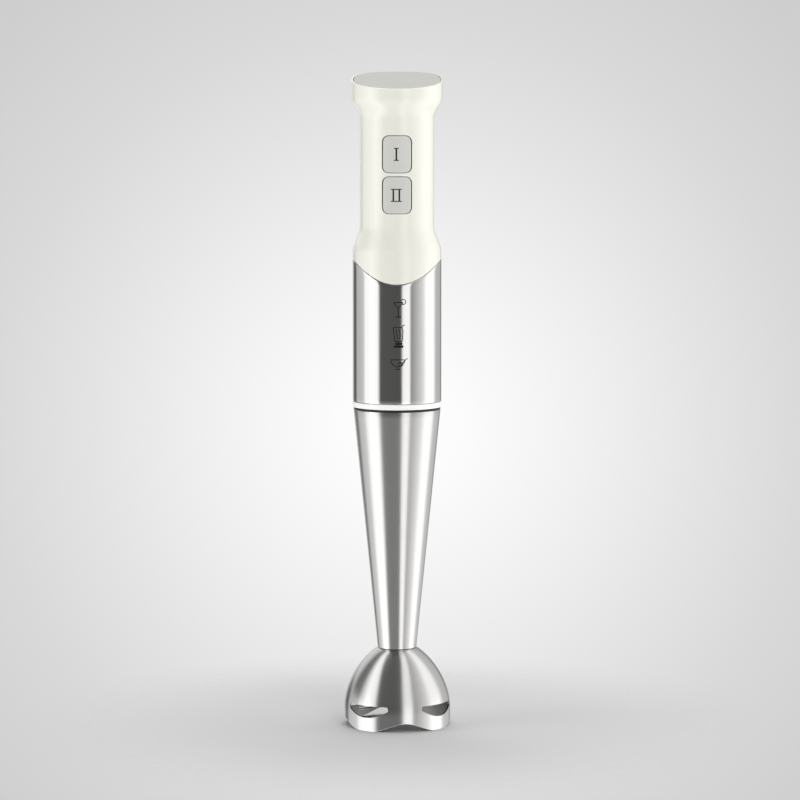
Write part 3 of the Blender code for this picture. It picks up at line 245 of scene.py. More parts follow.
def make_studio():
    world = bpy.data.worlds.new("studio")
    bpy.context.scene.world = world
    world.use_nodes = True
    tree = world.node_tree
    tree.nodes.clear()
    way = add_node(tree, "ShaderNodeTexCoord").outputs["Generated"]
    part = add_node(tree, "ShaderNodeSeparateXYZ", Vector=way).outputs
    up = maths(tree, "MAXIMUM", part["Z"], 0.0)
    lean = maths(tree, "MULTIPLY", maths(tree, "POWER", up, LEAN_POWER), LEAN)
    turn = maths(tree, "ARCTAN2", part["X"], maths(tree, "SUBTRACT", lean, part["Y"]))
    place = maths(tree, "MULTIPLY_ADD", turn, 1 / math.tau, 0.5)
    raised = add_node(tree, "ShaderNodeMapRange", {"interpolation_type": "SMOOTHSTEP"}, Value=part["Z"],
                      From_Min=BANDS_CHANGE[0], From_Max=BANDS_CHANGE[1]).outputs["Result"]
    bands = blend_colour(tree, raised, studio_ramp(tree, place, 1), studio_ramp(tree, place, 2))
    table = add_node(tree, "ShaderNodeMapRange", Value=part["Z"], From_Min=TABLE[0], From_Max=TABLE[1],
                     To_Max=TABLE_LIGHT / BRIGHTEST).outputs["Result"]
    whole = add_node(tree, "ShaderNodeVectorMath", {"operation": "ADD"}, _0=bands, _1=table).outputs[0]
    hall = add_node(tree, "ShaderNodeBackground", Color=whole, Strength=BRIGHTEST)
    glow_way = Vector((0.0, math.cos(GLOW_DOWN), -math.sin(GLOW_DOWN)))
    along = add_node(tree, "ShaderNodeVectorMath", {"operation": "DOT_PRODUCT"}, _0=way, _1=glow_way)
    apart = maths(tree, "DIVIDE", maths(tree, "ARCCOSINE", along.outputs["Value"]), GLOW_REACH)
    backdrop = add_node(tree, "ShaderNodeBackground", Color=ramp(tree, apart, GLOW), Strength=1.0)
    seen = add_node(tree, "ShaderNodeLightPath").outputs["Is Camera Ray"]
    mix = add_node(tree, "ShaderNodeMixShader", _0=seen, _1=hall.outputs[0], _2=backdrop.outputs[0])
    add_node(tree, "ShaderNodeOutputWorld", Surface=mix.outputs[0])
    return world


print("world:", make_studio().name)

# %% [markdown]
# The floor is a wide flat sheet. It fades out a hand's width from the blender, so no horizon shows,
# and it is clear from below, so that the foot can be looked at from under. Area lights add what the
# hall can't: one overhead and a little behind, for the soft shadow that falls to the front, and three
# that fill the cream handle. The fill lights are left out of reflections, so the dark band down the
# steel stays dark.

# %% Floor and lamps
FLOOR_R = 1.2
FLOOR_FADE = (0.085, 0.26)  # metres from the axis between which the sheet fades out
PAPER = 0.57
PAPER_GRAIN = 0.02
# Each lamp's place, aim, side in metres and power in watts, and whether steel mirrors it.
LAMPS = {
    "overhead_softbox": ((0.0, 0.55, 1.5), (0.0, 0.0, 0.0), 0.8, 7.0, True),
    "front_fill": ((0.3, -1.6, 1.1), (0.0, 0.0, 0.3), 1.0, 8.2, False),
    "right_fill": ((1.6, -0.7, 0.9), (0.0, 0.0, 0.3), 0.8, 0.4, False),
    "left_fill": ((-1.6, -0.5, 0.9), (0.0, 0.0, 0.3), 0.8, 1.4, False),
}


def make_floor():
    bpy.ops.object.select_all(action="DESELECT")
    bpy.ops.mesh.primitive_circle_add(vertices=96, radius=FLOOR_R, fill_type="NGON")
    floor = bpy.context.object
    floor.name = "floor"
    paper = bpy.data.materials.new("seamless_paper")
    paper.use_nodes = True
    tree = paper.node_tree
    tree.nodes.clear()
    place = add_node(tree, "ShaderNodeTexCoord").outputs["Object"]
    reach = add_node(tree, "ShaderNodeVectorMath", {"operation": "LENGTH"}, _0=place).outputs["Value"]
    fibre = add_node(tree, "ShaderNodeTexNoise", Vector=place, Scale=900.0, Detail=3.0).outputs["Fac"]
    tone = maths(tree, "MULTIPLY_ADD", fibre, PAPER_GRAIN, PAPER)
    colour = add_node(tree, "ShaderNodeCombineColor", Red=tone, Green=tone, Blue=tone).outputs[0]
    sheet = add_node(tree, "ShaderNodeBsdfDiffuse", Color=colour).outputs[0]
    clear = add_node(tree, "ShaderNodeBsdfTransparent").outputs[0]
    fade = add_node(tree, "ShaderNodeMapRange", {"interpolation_type": "SMOOTHSTEP"}, Value=reach,
                    From_Min=FLOOR_FADE[0], From_Max=FLOOR_FADE[1]).outputs["Result"]
    under = add_node(tree, "ShaderNodeNewGeometry").outputs["Backfacing"]
    gone = maths(tree, "MAXIMUM", fade, under)
    mix = add_node(tree, "ShaderNodeMixShader", _0=gone, _1=sheet, _2=clear)
    add_node(tree, "ShaderNodeOutputMaterial", Surface=mix.outputs[0])
    floor.data.materials.append(paper)
    floor.visible_glossy = False


def area_light(name, location, aim, side, power, mirrored):
    lamp = bpy.data.lights.new(name, "AREA")
    lamp.shape = "SQUARE"
    lamp.size = side
    lamp.energy = power
    item = bpy.data.objects.new(name, lamp)
    bpy.context.scene.collection.objects.link(item)
    item.location = location
    item.rotation_euler = (Vector(aim) - Vector(location)).to_track_quat("-Z", "Y").to_euler()
    item.visible_camera = False
    item.visible_glossy = mirrored


make_floor()
for name, values in LAMPS.items():
    area_light(name, *values)
print("floor and", len(LAMPS), "lamps")

# %% [markdown]
# ## Finishes
#
# A real surface is never one flat colour. Three effects come back in nearly every finish here, so each
# is a shader node group: a moulded or cast **grain** with faint **smudges**, the **wear** of an edge,
# and the fine **turned lines** that a lathe or a belt leaves round a steel piece. A group only puts
# out values that change over the surface, and each material mixes them in with its own strength.

# %% Node groups that the finishes share
def new_group(name, inputs, outputs):
    group = bpy.data.node_groups.new(name, "ShaderNodeTree")
    for label, value in inputs.items():
        socket = group.interface.new_socket(name=label, in_out="INPUT", socket_type="NodeSocketFloat")
        socket.default_value = value
    for label in outputs:
        group.interface.new_socket(name=label, in_out="OUTPUT", socket_type="NodeSocketFloat")
    source = group.nodes.new("NodeGroupInput")
    target = group.nodes.new("NodeGroupOutput")
    return group, source, target


def make_grain_group():
    """Fine grain for the bump, and wide soft smudges for colour and gloss."""
    group, source, target = new_group(
        "surface_grain", {"Grain Scale": 900.0, "Smudge Scale": 38.0}, ("Grain", "Smudge"))
    place = add_node(group, "ShaderNodeTexCoord").outputs["Object"]
    grain = add_node(group, "ShaderNodeTexNoise", Vector=place, Detail=4.0, Roughness=0.6)
    group.links.new(source.outputs["Grain Scale"], grain.inputs["Scale"])
    smudge = add_node(group, "ShaderNodeTexNoise", Vector=place, Detail=5.0, Roughness=0.65,
                      Distortion=0.8)
    group.links.new(source.outputs["Smudge Scale"], smudge.inputs["Scale"])
    spread = add_node(group, "ShaderNodeMapRange", Value=smudge.outputs["Fac"],
                      From_Min=0.30, From_Max=0.70)
    group.links.new(grain.outputs["Fac"], target.inputs["Grain"])
    group.links.new(spread.outputs["Result"], target.inputs["Smudge"])
    return group


def make_wear_group():
    """A mask that is 1 on sharp outer edges, broken up by noise, where handling rubs a surface."""
    group, source, target = new_group("edge_wear", {"Width": 0.0004}, ("Edge",))
    rounded = add_node(group, "ShaderNodeBevel", {"samples": 4})
    group.links.new(source.outputs["Width"], rounded.inputs["Radius"])
    true = add_node(group, "ShaderNodeNewGeometry").outputs["Normal"]
    same = add_node(group, "ShaderNodeVectorMath", {"operation": "DOT_PRODUCT"},
                    _0=rounded.outputs["Normal"], _1=true).outputs["Value"]
    edge = add_node(group, "ShaderNodeMapRange", Value=same, From_Min=0.995, From_Max=0.90)
    place = add_node(group, "ShaderNodeTexCoord").outputs["Object"]
    broken = add_node(group, "ShaderNodeTexNoise", Vector=place, Scale=260.0, Detail=3.0).outputs["Fac"]
    patchy = add_node(group, "ShaderNodeMapRange", Value=broken, From_Min=0.35, From_Max=0.62)
    mask = maths(group, "MULTIPLY", edge.outputs["Result"], patchy.outputs["Result"])
    group.links.new(mask, target.inputs["Edge"])
    return group


def make_lines_group():
    """Lines round the long axis: long and thin, in a coarse and a fine size."""
    group, source, target = new_group("turned_lines", {"Pitch": 5200.0}, ("Lines",))
    place = add_node(group, "ShaderNodeTexCoord").outputs["Object"]
    sizes = []
    for share, along in ((1.0, 22.0), (0.31, 9.0)):
        pitch = maths(group, "MULTIPLY", source.outputs["Pitch"], share)
        scale = add_node(group, "ShaderNodeCombineXYZ", X=along, Y=along, Z=pitch).outputs[0]
        stretched = add_node(group, "ShaderNodeVectorMath", {"operation": "MULTIPLY"},
                             _0=place, _1=scale).outputs["Vector"]
        sizes.append(add_node(group, "ShaderNodeTexNoise", Vector=stretched, Scale=1.0,
                              Detail=2.0).outputs["Fac"])
    both = maths(group, "MULTIPLY_ADD", sizes[1], 0.5, maths(group, "MULTIPLY", sizes[0], 0.5))
    group.links.new(both, target.inputs["Lines"])
    return group


GROUPS = {group.name: group for group in (make_grain_group(), make_wear_group(), make_lines_group())}
print("groups:", ", ".join(GROUPS))

# %% [markdown]
# One recipe serves every finish. It starts from a colour, a roughness and a metallic value, and then
# lets grain, smudges, turned lines and wear change them a little. The constants go straight onto the
# shader, and only what varies over the surface is linked.

# %% The recipe for a finish
GROOVE_LEVEL = 0.35  # turned lines above this darken the metal
GROOVE_TONE = 0.45
WORN_ROUGHER = 0.12
RELIEF = 0.2 * MM
ACROSS = 0.25  # of a turn, from the tangent round the axis to the way the highlights are drawn out


def use_group(tree, name, **inputs):
    node = add_node(tree, "ShaderNodeGroup", {"node_tree": GROUPS[name]})
    for key, value in inputs.items():
        node.inputs[key.replace("_", " ")].default_value = value
    return node.outputs


def make_finish(name, colour, roughness, metallic=0.0, grain=900.0, bump=0.04, smudge=0.04,
                uneven=0.06, lines=0.0, pitch=5200.0, stretch=0.0, worn=None, wear=0.5, **constants):
    """A material.

    smudge darkens the colour, and uneven changes the gloss. lines is the strength of the turned lines, and
    pitch how close they are. stretch draws the highlights out, and worn is the colour of bare edges.
    """
    material = bpy.data.materials.new(name)
    material.use_nodes = True
    tree = material.node_tree
    shader = tree.nodes["Principled BSDF"]
    shader.inputs["Metallic"].default_value = metallic
    for key, value in constants.items():
        shader.inputs[key.replace("_", " ")].default_value = value
    surface = use_group(tree, "surface_grain", Grain_Scale=grain)
    darker = tuple(part * (1 - smudge) for part in colour)
    tone = blend_colour(tree, surface["Smudge"], colour, darker)
    rough = maths(tree, "MULTIPLY_ADD", surface["Smudge"], uneven, roughness - uneven / 2)
    height = surface["Grain"]
    if lines:
        turned = use_group(tree, "turned_lines", Pitch=pitch)["Lines"]
        rough = maths(tree, "MULTIPLY_ADD", turned, lines, maths(tree, "SUBTRACT", rough, lines / 2))
        dim = maths(tree, "MULTIPLY", maths(tree, "SUBTRACT", turned, GROOVE_LEVEL), lines)
        tone = blend_colour(tree, dim, tone, tuple(part * GROOVE_TONE for part in colour))
        height = turned
    if worn:
        edge = maths(tree, "MULTIPLY", use_group(tree, "edge_wear")["Edge"], wear)
        tone = blend_colour(tree, edge, tone, worn)
        rough = maths(tree, "MULTIPLY_ADD", edge, WORN_ROUGHER, rough)
    if stretch:
        shader.inputs["Anisotropic"].default_value = stretch
        shader.inputs["Anisotropic Rotation"].default_value = ACROSS
        tangent = add_node(tree, "ShaderNodeTangent", {"direction_type": "RADIAL", "axis": "Z"})
        tree.links.new(tangent.outputs[0], shader.inputs["Tangent"])
    relief = add_node(tree, "ShaderNodeBump", Strength=bump, Distance=RELIEF, Height=height)
    tree.links.new(tone, shader.inputs["Base Color"])
    tree.links.new(rough, shader.inputs["Roughness"])
    tree.links.new(relief.outputs["Normal"], shader.inputs["Normal"])
    return material


print("recipe ready")

# %% [markdown]
# The finishes themselves. The cream shell is a gloss moulding, so it gets a thin clear coat. The keys
# are a duller grey. The cap is a darker, duller copy of that grey, as painted shade on its top, which
# faces the overhead lamp. The sleeve is mirror-polished steel with the faintest belt marks. The cone and
# the bell are brushed on a lathe: their lines run round the axis, so highlights are drawn out across
# them, which is what the stretch value does. The cone's steel is a little darker than the bell's, as
# painted shade that dims its reflections, and a touch rougher. The inside of the bell is dark and dull:
# the dark is painted shade for the shade inside the bell, and the dullness is a rougher steel.
# The printed ink is a flat black.

# %% Make one material for each finish
STEEL = (0.60, 0.595, 0.585)
FINISH_VALUES = {
    "cream_plastic": dict(
        colour=(0.80, 0.795, 0.715), roughness=0.26, grain=1400.0, bump=0.015, smudge=0.015,
        uneven=0.02, Coat_Weight=0.5, Coat_Roughness=0.06),
    "grey_plastic": dict(
        colour=(0.60, 0.60, 0.565), roughness=0.38, grain=2600.0, bump=0.08, smudge=0.03,
        worn=(0.70, 0.70, 0.67)),
    "white_plastic": dict(
        colour=(0.95, 0.95, 0.93), roughness=0.34, bump=0.02, smudge=0.02, worn=(0.90, 0.90, 0.88)),
    "black_rubber": dict(
        colour=(0.018, 0.018, 0.018), roughness=0.62, grain=1800.0, bump=0.15, smudge=0.2,
        worn=(0.06, 0.06, 0.06)),
    "black_plastic": dict(
        colour=(0.028, 0.028, 0.032), roughness=0.42, grain=2200.0, bump=0.10, smudge=0.15,
        worn=(0.09, 0.09, 0.09)),
    "nylon": dict(
        colour=(0.76, 0.74, 0.67), roughness=0.42, grain=700.0, bump=0.06, smudge=0.08,
        Subsurface_Weight=0.08, Subsurface_Radius=(0.004, 0.003, 0.002)),
    "polished_steel": dict(
        colour=STEEL, roughness=0.11, metallic=1.0, grain=600.0, bump=0.004, smudge=0.02, uneven=0.03,
        lines=0.04, pitch=3000.0, stretch=0.25),
    "brushed_steel": dict(
        colour=STEEL, roughness=0.22, metallic=1.0, bump=0.012, smudge=0.02, uneven=0.04, lines=0.07,
        stretch=0.60, worn=(0.78, 0.78, 0.77), wear=0.3),
    "blade_steel": dict(
        colour=(0.66, 0.66, 0.655), roughness=0.19, metallic=1.0, bump=0.03, smudge=0.05, lines=0.10,
        pitch=2600.0, worn=(0.85, 0.85, 0.85)),
    "zinc_steel": dict(
        colour=(0.56, 0.575, 0.59), roughness=0.33, metallic=1.0, grain=1500.0, bump=0.08, smudge=0.18,
        uneven=0.14, worn=(0.42, 0.41, 0.40)),
    "bronze": dict(
        colour=(0.50, 0.34, 0.17), roughness=0.44, metallic=1.0, grain=2600.0, bump=0.30, smudge=0.3,
        uneven=0.2, worn=(0.72, 0.52, 0.28)),
    "copper": dict(
        colour=(0.66, 0.30, 0.15), roughness=0.30, metallic=1.0, bump=0.25, smudge=0.2, lines=0.3,
        pitch=2400.0),
    "ferrite": dict(
        colour=(0.055, 0.055, 0.06), roughness=0.62, grain=1700.0, bump=0.25, smudge=0.25,
        worn=(0.14, 0.14, 0.15)),
    "laminated_iron": dict(
        colour=(0.24, 0.24, 0.26), roughness=0.45, metallic=1.0, bump=0.5, smudge=0.2, lines=0.45,
        pitch=1900.0),
    "carbon": dict(
        colour=(0.03, 0.03, 0.032), roughness=0.72, grain=3000.0, bump=0.3, smudge=0.3,
        worn=(0.10, 0.10, 0.10)),
    "board_green": dict(
        colour=(0.02, 0.17, 0.075), roughness=0.42, grain=1200.0, bump=0.12, smudge=0.25,
        worn=(0.42, 0.44, 0.30)),
    "red_insulation": dict(
        colour=(0.52, 0.03, 0.03), roughness=0.46, grain=900.0, bump=0.08, smudge=0.15),
    # The cap's grey is the keys' grey darkened as painted shade, because its top faces the overhead lamp.
    "cap_plastic_painted_shade": dict(
        colour=(0.42, 0.42, 0.39), roughness=0.45, grain=2600.0, bump=0.08, smudge=0.03,
        worn=(0.6, 0.6, 0.57)),
    # The cone's steel is the bell's steel darkened a little, as painted shade that dims its reflections,
    # and a touch rougher.
    "cone_steel_painted_shade": dict(
        colour=(0.56, 0.555, 0.545), roughness=0.235, metallic=1.0, bump=0.012, smudge=0.02,
        uneven=0.04, lines=0.07, stretch=0.55, worn=(0.74, 0.74, 0.73), wear=0.3),
    # The bell's inside: a dark steel that paints the shade inside the bell, and a rougher one.
    "bell_inside_painted_shade": dict(
        colour=(0.17, 0.17, 0.165), roughness=0.42, metallic=1.0, grain=1600.0, bump=0.06, smudge=0.15,
        uneven=0.1, lines=0.15),
    "printed_ink": dict(
        colour=(0.008, 0.008, 0.008), roughness=0.6, bump=0.05, smudge=0.2, Specular_IOR_Level=0.2),
}
FINISH = {name: make_finish(name, **values) for name, values in FINISH_VALUES.items()}
print(len(FINISH), "finishes")

# %% Put the finishes on the frame's own nodes
for name, node in nodes.items():
    slot = node.data.materials[0].name
    node.data.materials[0] = FINISH[slot]
print("dressed", len(nodes), "nodes")

# %% [markdown]
# ## Tools of the bench
#
# Most pieces of this object are turned. By hand, a turned piece is drawn as an outline, one vertex
# extruded from point to point, and spun once round its axis. Flat pieces are an outline that is filled
# and extruded. The helpers below do just that with the same operators, and clean up afterwards: they
# merge the doubled points at the seam and at the poles, and make the normals point outwards. Blocks
# and rods, mostly cutters, are the ready-made shapes.

# %% Outline, turn, slab, block and rod
def deselect():
    if bpy.context.object and bpy.context.object.mode != "OBJECT":
        bpy.ops.object.mode_set(mode="OBJECT")
    bpy.ops.object.select_all(action="DESELECT")


def activate(piece):
    deselect()
    piece.select_set(True)
    bpy.context.view_layer.objects.active = piece


def draw_outline(name, points):
    """One vertex, extruded from point to point. The piece is left in edit mode."""
    deselect()
    bpy.ops.mesh.primitive_plane_add(size=MM)
    piece = bpy.context.object
    piece.name = piece.data.name = name
    bpy.ops.object.mode_set(mode="EDIT")
    bpy.ops.mesh.select_mode(type="VERT")
    bpy.ops.mesh.select_all(action="SELECT")
    bpy.ops.mesh.merge(type="CENTER")
    bpy.ops.transform.translate(value=points[0])
    for start, end in zip(points, points[1:]):
        step = Vector(end) - Vector(start)
        bpy.ops.mesh.extrude_region_move(TRANSFORM_OT_translate={"value": step})
    return piece


def clean_up():
    """Merges doubled points and turns the faces outwards, then leaves edit mode."""
    bpy.ops.mesh.select_all(action="SELECT")
    bpy.ops.mesh.remove_doubles(threshold=0.005 * MM)
    bpy.ops.mesh.normals_make_consistent(inside=False)
    bpy.ops.object.mode_set(mode="OBJECT")


def turn_piece(name, profile, sides=ROUND, centre=(0, 0, 0), along="Z"):
    """Spins an outline of (radius, height) points about an axis through a centre.

    An outline that starts and ends on the axis is left open there.
    """
    axis = {"Z": (0, 0, 1), "Y": (0, 1, 0)}[along]
    if along == "Z":
        points = [(centre[0] + r, centre[1], centre[2] + h) for r, h in profile]
    else:
        points = [(centre[0] + r, centre[1] + h, centre[2]) for r, h in profile]
    on_axis = profile[0][0] == 0 and profile[-1][0] == 0
    piece = draw_outline(name, points if on_axis else points + points[:1])
    bpy.ops.mesh.select_all(action="SELECT")
    bpy.ops.mesh.spin(steps=sides, angle=math.tau, center=centre, axis=axis, use_auto_merge=False)
    clean_up()
    return piece


def slab(name, outline, front, back):
    """An outline of (x, z) points, filled and extruded along Y."""
    points = [(x, front, z) for x, z in outline]
    piece = draw_outline(name, points)
    bpy.ops.mesh.select_all(action="SELECT")
    bpy.ops.mesh.edge_face_add()
    bpy.ops.mesh.extrude_region_move(TRANSFORM_OT_translate={"value": (0, back - front, 0)})
    clean_up()
    return piece


def block(name, centre, size):
    """A plain block about a centre."""
    deselect()
    bpy.ops.mesh.primitive_cube_add(size=1.0, location=centre, scale=size)
    piece = bpy.context.object
    piece.name = piece.data.name = name
    bpy.ops.object.transform_apply(location=True, rotation=True, scale=True)
    return piece


def rod(name, centre, radius, length, along="Z", sides=32):
    """A round cutter or boss about a centre."""
    deselect()
    turn = (math.radians(90), 0, 0) if along == "Y" else (0, 0, 0)
    bpy.ops.mesh.primitive_cylinder_add(vertices=sides, radius=radius, depth=length, location=centre,
                                        rotation=turn)
    piece = bpy.context.object
    piece.name = piece.data.name = name
    bpy.ops.object.transform_apply(location=True, rotation=True, scale=True)
    return piece


print("tools: outline, turn, slab, block, rod")

# %% Reshape, cut and finish
def reshape(piece, rule):
    """Moves every point of a piece to where a rule of x, y and z puts it."""
    for vertex in piece.data.vertices:
        vertex.co = rule(*vertex.co)
    piece.data.update()


def swing(piece, degrees):
    """Turns a piece's points about the object's axis."""
    c, s = math.cos(math.radians(degrees)), math.sin(math.radians(degrees))
    reshape(piece, lambda x, y, z: (x * c - y * s, x * s + y * c, z))


def combine(piece, tool, operation="DIFFERENCE"):
    """Cuts a tool out of a piece, or joins it on, and throws the tool away."""
    activate(piece)
    modifier = piece.modifiers.new("cut", "BOOLEAN")
    modifier.operation = operation
    modifier.object = tool
    bpy.ops.object.modifier_apply(modifier=modifier.name)
    bpy.data.objects.remove(tool, do_unlink=True)


def soften(piece, width):
    """Rounds the sharp edges of a piece."""
    activate(piece)
    modifier = piece.modifiers.new("soft edges", "BEVEL")
    modifier.width = width
    modifier.segments = 2
    modifier.angle_limit = math.radians(40)
    bpy.ops.object.modifier_apply(modifier=modifier.name)


def finish_piece(piece, body, slot, *replaced, angle=32.0, material=None):
    """Shades a piece smooth, gives it its finish and says which body carries it.

    Edges sharper than the angle, in degrees, stay sharp. The finish is the slot's own, unless another
    material is named.
    """
    activate(piece)
    bpy.ops.object.shade_smooth_by_angle(angle=math.radians(angle))
    piece.data.materials.clear()
    piece.data.materials.append(FINISH[material or slot])
    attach(piece, body)
    if replaced:
        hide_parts(*replaced)
    loose = bmesh.new()
    loose.from_mesh(piece.data)
    open_edges = sum(not edge.is_manifold for edge in loose.edges)
    loose.free()
    print(piece.name, len(piece.data.polygons), "faces,", open_edges, "open edges")
    return piece


def ease(t):
    """A smooth step from 0 to 1."""
    t = min(1.0, max(0.0, t))
    return t * t * (3 - 2 * t)


def spaced(start, end, count):
    """Evenly spaced values from start to end, both included."""
    return [start + (end - start) * i / count for i in range(count + 1)]


def corner(r, z, radius, start, steps=4):
    """A round corner: an arc about (r, z) that runs a quarter turn clockwise from start degrees."""
    angles = [math.radians(start - 90 * i / steps) for i in range(steps + 1)]
    return [(r + radius * math.cos(a), z + radius * math.sin(a)) for a in angles]


print("tools: reshape, combine, soften, finish")

# %% [markdown]
# ## The bell
#
# The bell is pressed from one sheet of stainless steel. Its outside is a dome on a short upright wall,
# its rim is lifted into four low arches so that food can flow under it, and a window above each of its
# four feet lets it flow out again. It is turned as a shell with both of its walls, the arches are
# shaped by a rule, because they are the same wave four times, and the windows are cut last.

# %% Shape of the bell
BELL_UPRIGHT = 10.0 * MM
NECK_SWEEP = (8.5 * MM, -5.4 * MM)  # from the neck to the curve's second point
WALL_SWEEP = 17.0 * MM  # from the upright wall up to its third
RIM_SOFT = 0.3 * MM
RIM_LIFT = 5.3 * MM
RIM_BAND = 7.8 * MM
RIM_FLAT = 8.0  # degrees to each side of a foot that stay flat
FOOT_TURN = 9.0  # degrees from the front to the middle of an arch
SPAN = 90.0


def dome(t):
    """The bell's outside from the neck, where t is 0, to the upright wall, where t is 1."""
    points = ((NECK_R, NECK_Z), (NECK_R + NECK_SWEEP[0], NECK_Z + NECK_SWEEP[1]),
              (BELL_R, BELL_UPRIGHT + WALL_SWEEP), (BELL_R, BELL_UPRIGHT))
    weights = ((1 - t) ** 3, 3 * t * (1 - t) ** 2, 3 * t * t * (1 - t), t**3)
    return tuple(sum(w * p[i] for w, p in zip(weights, points)) for i in (0, 1))


def inside_dome(t):
    """The same line, one wall further in, square to the line between two points close by."""
    near = 0.01
    (r0, z0), (r1, z1) = dome(max(0.0, t - near)), dome(min(1.0, t + near))
    length = math.hypot(r1 - r0, z1 - z0)
    r, z = dome(t)
    return r + BELL_WALL * (z1 - z0) / length, z - BELL_WALL * (r1 - r0) / length


def bell_profile():
    shares = spaced(0.0, 1.0, 30)
    inner_r = BELL_R - BELL_WALL
    rim = RIM_SOFT
    outer = [dome(t) for t in shares]
    wall = [(BELL_R, z) for z in spaced(BELL_UPRIGHT, rim, 14)[1:-1]]
    foot = corner(BELL_R - rim, rim, rim, 0) + corner(inner_r + rim, rim, rim, 270)
    back = [(inner_r, z) for z in spaced(rim, BELL_UPRIGHT, 14)[1:-1]]
    inner = [inside_dome(t) for t in reversed(shares[1:])]
    return outer + wall + foot + back + inner + [(NECK_R - BELL_WALL, NECK_Z)]


def arch_rule(x, y, z):
    """Lifts the rim between the feet. The lift fades out upwards."""
    if z >= RIM_BAND:
        return x, y, z
    from_arch = (math.degrees(math.atan2(x, -y)) - FOOT_TURN + SPAN / 2) % SPAN - SPAN / 2
    from_foot = SPAN / 2 - abs(from_arch)
    lift = RIM_LIFT * ease((from_foot - RIM_FLAT) / (SPAN / 2 - RIM_FLAT))
    return x, y, z + lift * (1 - z / RIM_BAND)


print("bell wall", BELL_WALL / MM, "mm, arches", RIM_LIFT / MM, "mm high")

# %% Turn the bell and cut its windows
WINDOW_HALF = BELL_R * math.sin(math.radians(26.0))
WINDOW_TOP = 15.4 * MM
WINDOW_ENDS = 12.7 * MM
WINDOW_LOW = 8.1 * MM
WINDOW_CORNER = 1.4 * MM


def window_cutter(index):
    """A slab with a straight top, round upper corners and a bowed lower edge, on one of the four feet."""
    right = corner(WINDOW_HALF - WINDOW_CORNER, WINDOW_TOP - WINDOW_CORNER, WINDOW_CORNER, 90, 6)
    left = [(-x, z) for x, z in reversed(right)]
    bow = [(WINDOW_HALF * t, WINDOW_LOW + (WINDOW_ENDS - WINDOW_LOW) * t * t) for t in spaced(1, -1, 20)]
    cutter = slab(f"window_cutter_{index}", left + right + bow, -BELL_R * 1.3, -BELL_R * 0.5)
    swing(cutter, FOOT_TURN + SPAN * (index + 0.5))
    return cutter


bell = turn_piece("bell_shell", bell_profile(), LARGE)
reshape(bell, arch_rule)
for index in range(4):
    combine(bell, window_cutter(index))
finish_piece(bell, "foot", "brushed_steel", "bell_guard", angle=40.0)

# %% [markdown]
# The bell's inside gets the dark finish as a second material, on the faces that look towards the axis.
# That darkness is painted shade, standing in for the shade inside the bell.

# %% Darken the inside
INSIDE = -0.15  # a face looks inwards if its normal's share away from the axis is below this

# Painted shade: the inner faces get the dark steel.
bell.data.materials.append(FINISH["bell_inside_painted_shade"])
for face in bell.data.polygons:
    facing = face.normal.x * face.center.x + face.normal.y * face.center.y
    face.material_index = int(facing < INSIDE * math.hypot(face.center.x, face.center.y))
print(sum(face.material_index for face in bell.data.polygons), "faces inside the bell")

# %% [markdown]
# ## The shaft and the seal ring
#
# The shaft is a straight cone of the same sheet, welded to the bell, with a small rolled edge where it
# meets the motor unit. A dark ring in that seam stays on the shaft's rim when the motor unit is lifted
# off.

# %% Cone and ring
CHAMBER_R = 20.8 * MM  # of the socket that the foot's lugs turn in
PLAY = 0.1 * MM


def shaft_profile():
    roll = 0.35 * MM
    foot = low("shaft_tube").z
    top = SEAM_Z - roll
    rows = [(SHAFT_R + (SHAFT_NECK_R - SHAFT_R) * t, top + (foot - top) * t)
            for t in spaced(0, 1, 40)[1:]]
    inner = [(SHAFT_NECK_R - SHAFT_WALL, foot), (SHAFT_R - SHAFT_WALL, SEAM_Z)]
    return corner(SHAFT_R - roll, top, roll, 90) + rows + inner


# The cone gets the darkened steel: painted shade that dims its reflections.
finish_piece(turn_piece("shaft_cone", shaft_profile(), LARGE), "foot", "brushed_steel", "shaft_tube",
             material="cone_steel_painted_shade")


def seam_ring_profile():
    bottom, top = low("seal_ring").z, high("seal_ring").z
    radius = high("seal_ring").x
    soft = 0.2 * MM
    outer = corner(radius - soft, top - soft, soft, 90) + corner(radius - soft, bottom + soft, soft, 0)
    return outer + [(CHAMBER_R + PLAY, bottom), (CHAMBER_R + PLAY, top)]


finish_piece(turn_piece("rim_seal", seam_ring_profile()), "seam_ring", "black_rubber", "seal_ring")

# %% [markdown]
# ## The collar and the sleeve
#
# The motor sits in a white moulding, of which only a thin ring shows below the sleeve. Its underside
# has the bayonet socket, which comes into view when the motor unit is lifted off the foot, so the
# socket is cut here as it is in the frame: three slots that the lugs go up through, and a chamber over
# each that they turn into.

# %% Turn the collar and cut its socket
SPIGOT_BORE = 18.0 * MM
PASSAGE_R = 9.0 * MM  # of the hole for the coupler
LUGS = 3
LUG_TURN = 93.0  # degrees from +X to the first lug
LUG_HALF = 12.0
SLOT_HALF = 16.0  # of a slot that a lug goes up through
TWIST = 30.0
LEDGE_Z = COLLAR_Z + 6.0 * MM
BULKHEAD_Z = COLLAR_Z + 12.7 * MM
BULKHEAD_TOP = BULKHEAD_Z + 4.0 * MM
SCREW_CIRCLE = 11.0 * MM
SCREW_HOLE = {"radius": 1.6 * MM, "length": 20 * MM}
HEAD_RECESS = {"radius": 3.1 * MM, "length": 4.4 * MM}
LIP = 3.2 * MM  # height of the white ring


def collar_profile():
    top = high("motor_collar").z
    soft = 0.4 * MM
    lip = corner(LIP_R - soft, COLLAR_Z + LIP - soft, soft, 90)
    lip += corner(LIP_R - soft, COLLAR_Z + soft, soft, 0)
    return [(SKIRT_R, top), (SKIRT_R, COLLAR_Z + LIP), *lip, (SPIGOT_BORE + soft, COLLAR_Z),
            (SPIGOT_BORE, COLLAR_Z + soft), (SPIGOT_BORE, BULKHEAD_Z), (PASSAGE_R, BULKHEAD_Z),
            (PASSAGE_R, BULKHEAD_TOP), (SKIRT_INNER, BULKHEAD_TOP), (SKIRT_INNER, top)]


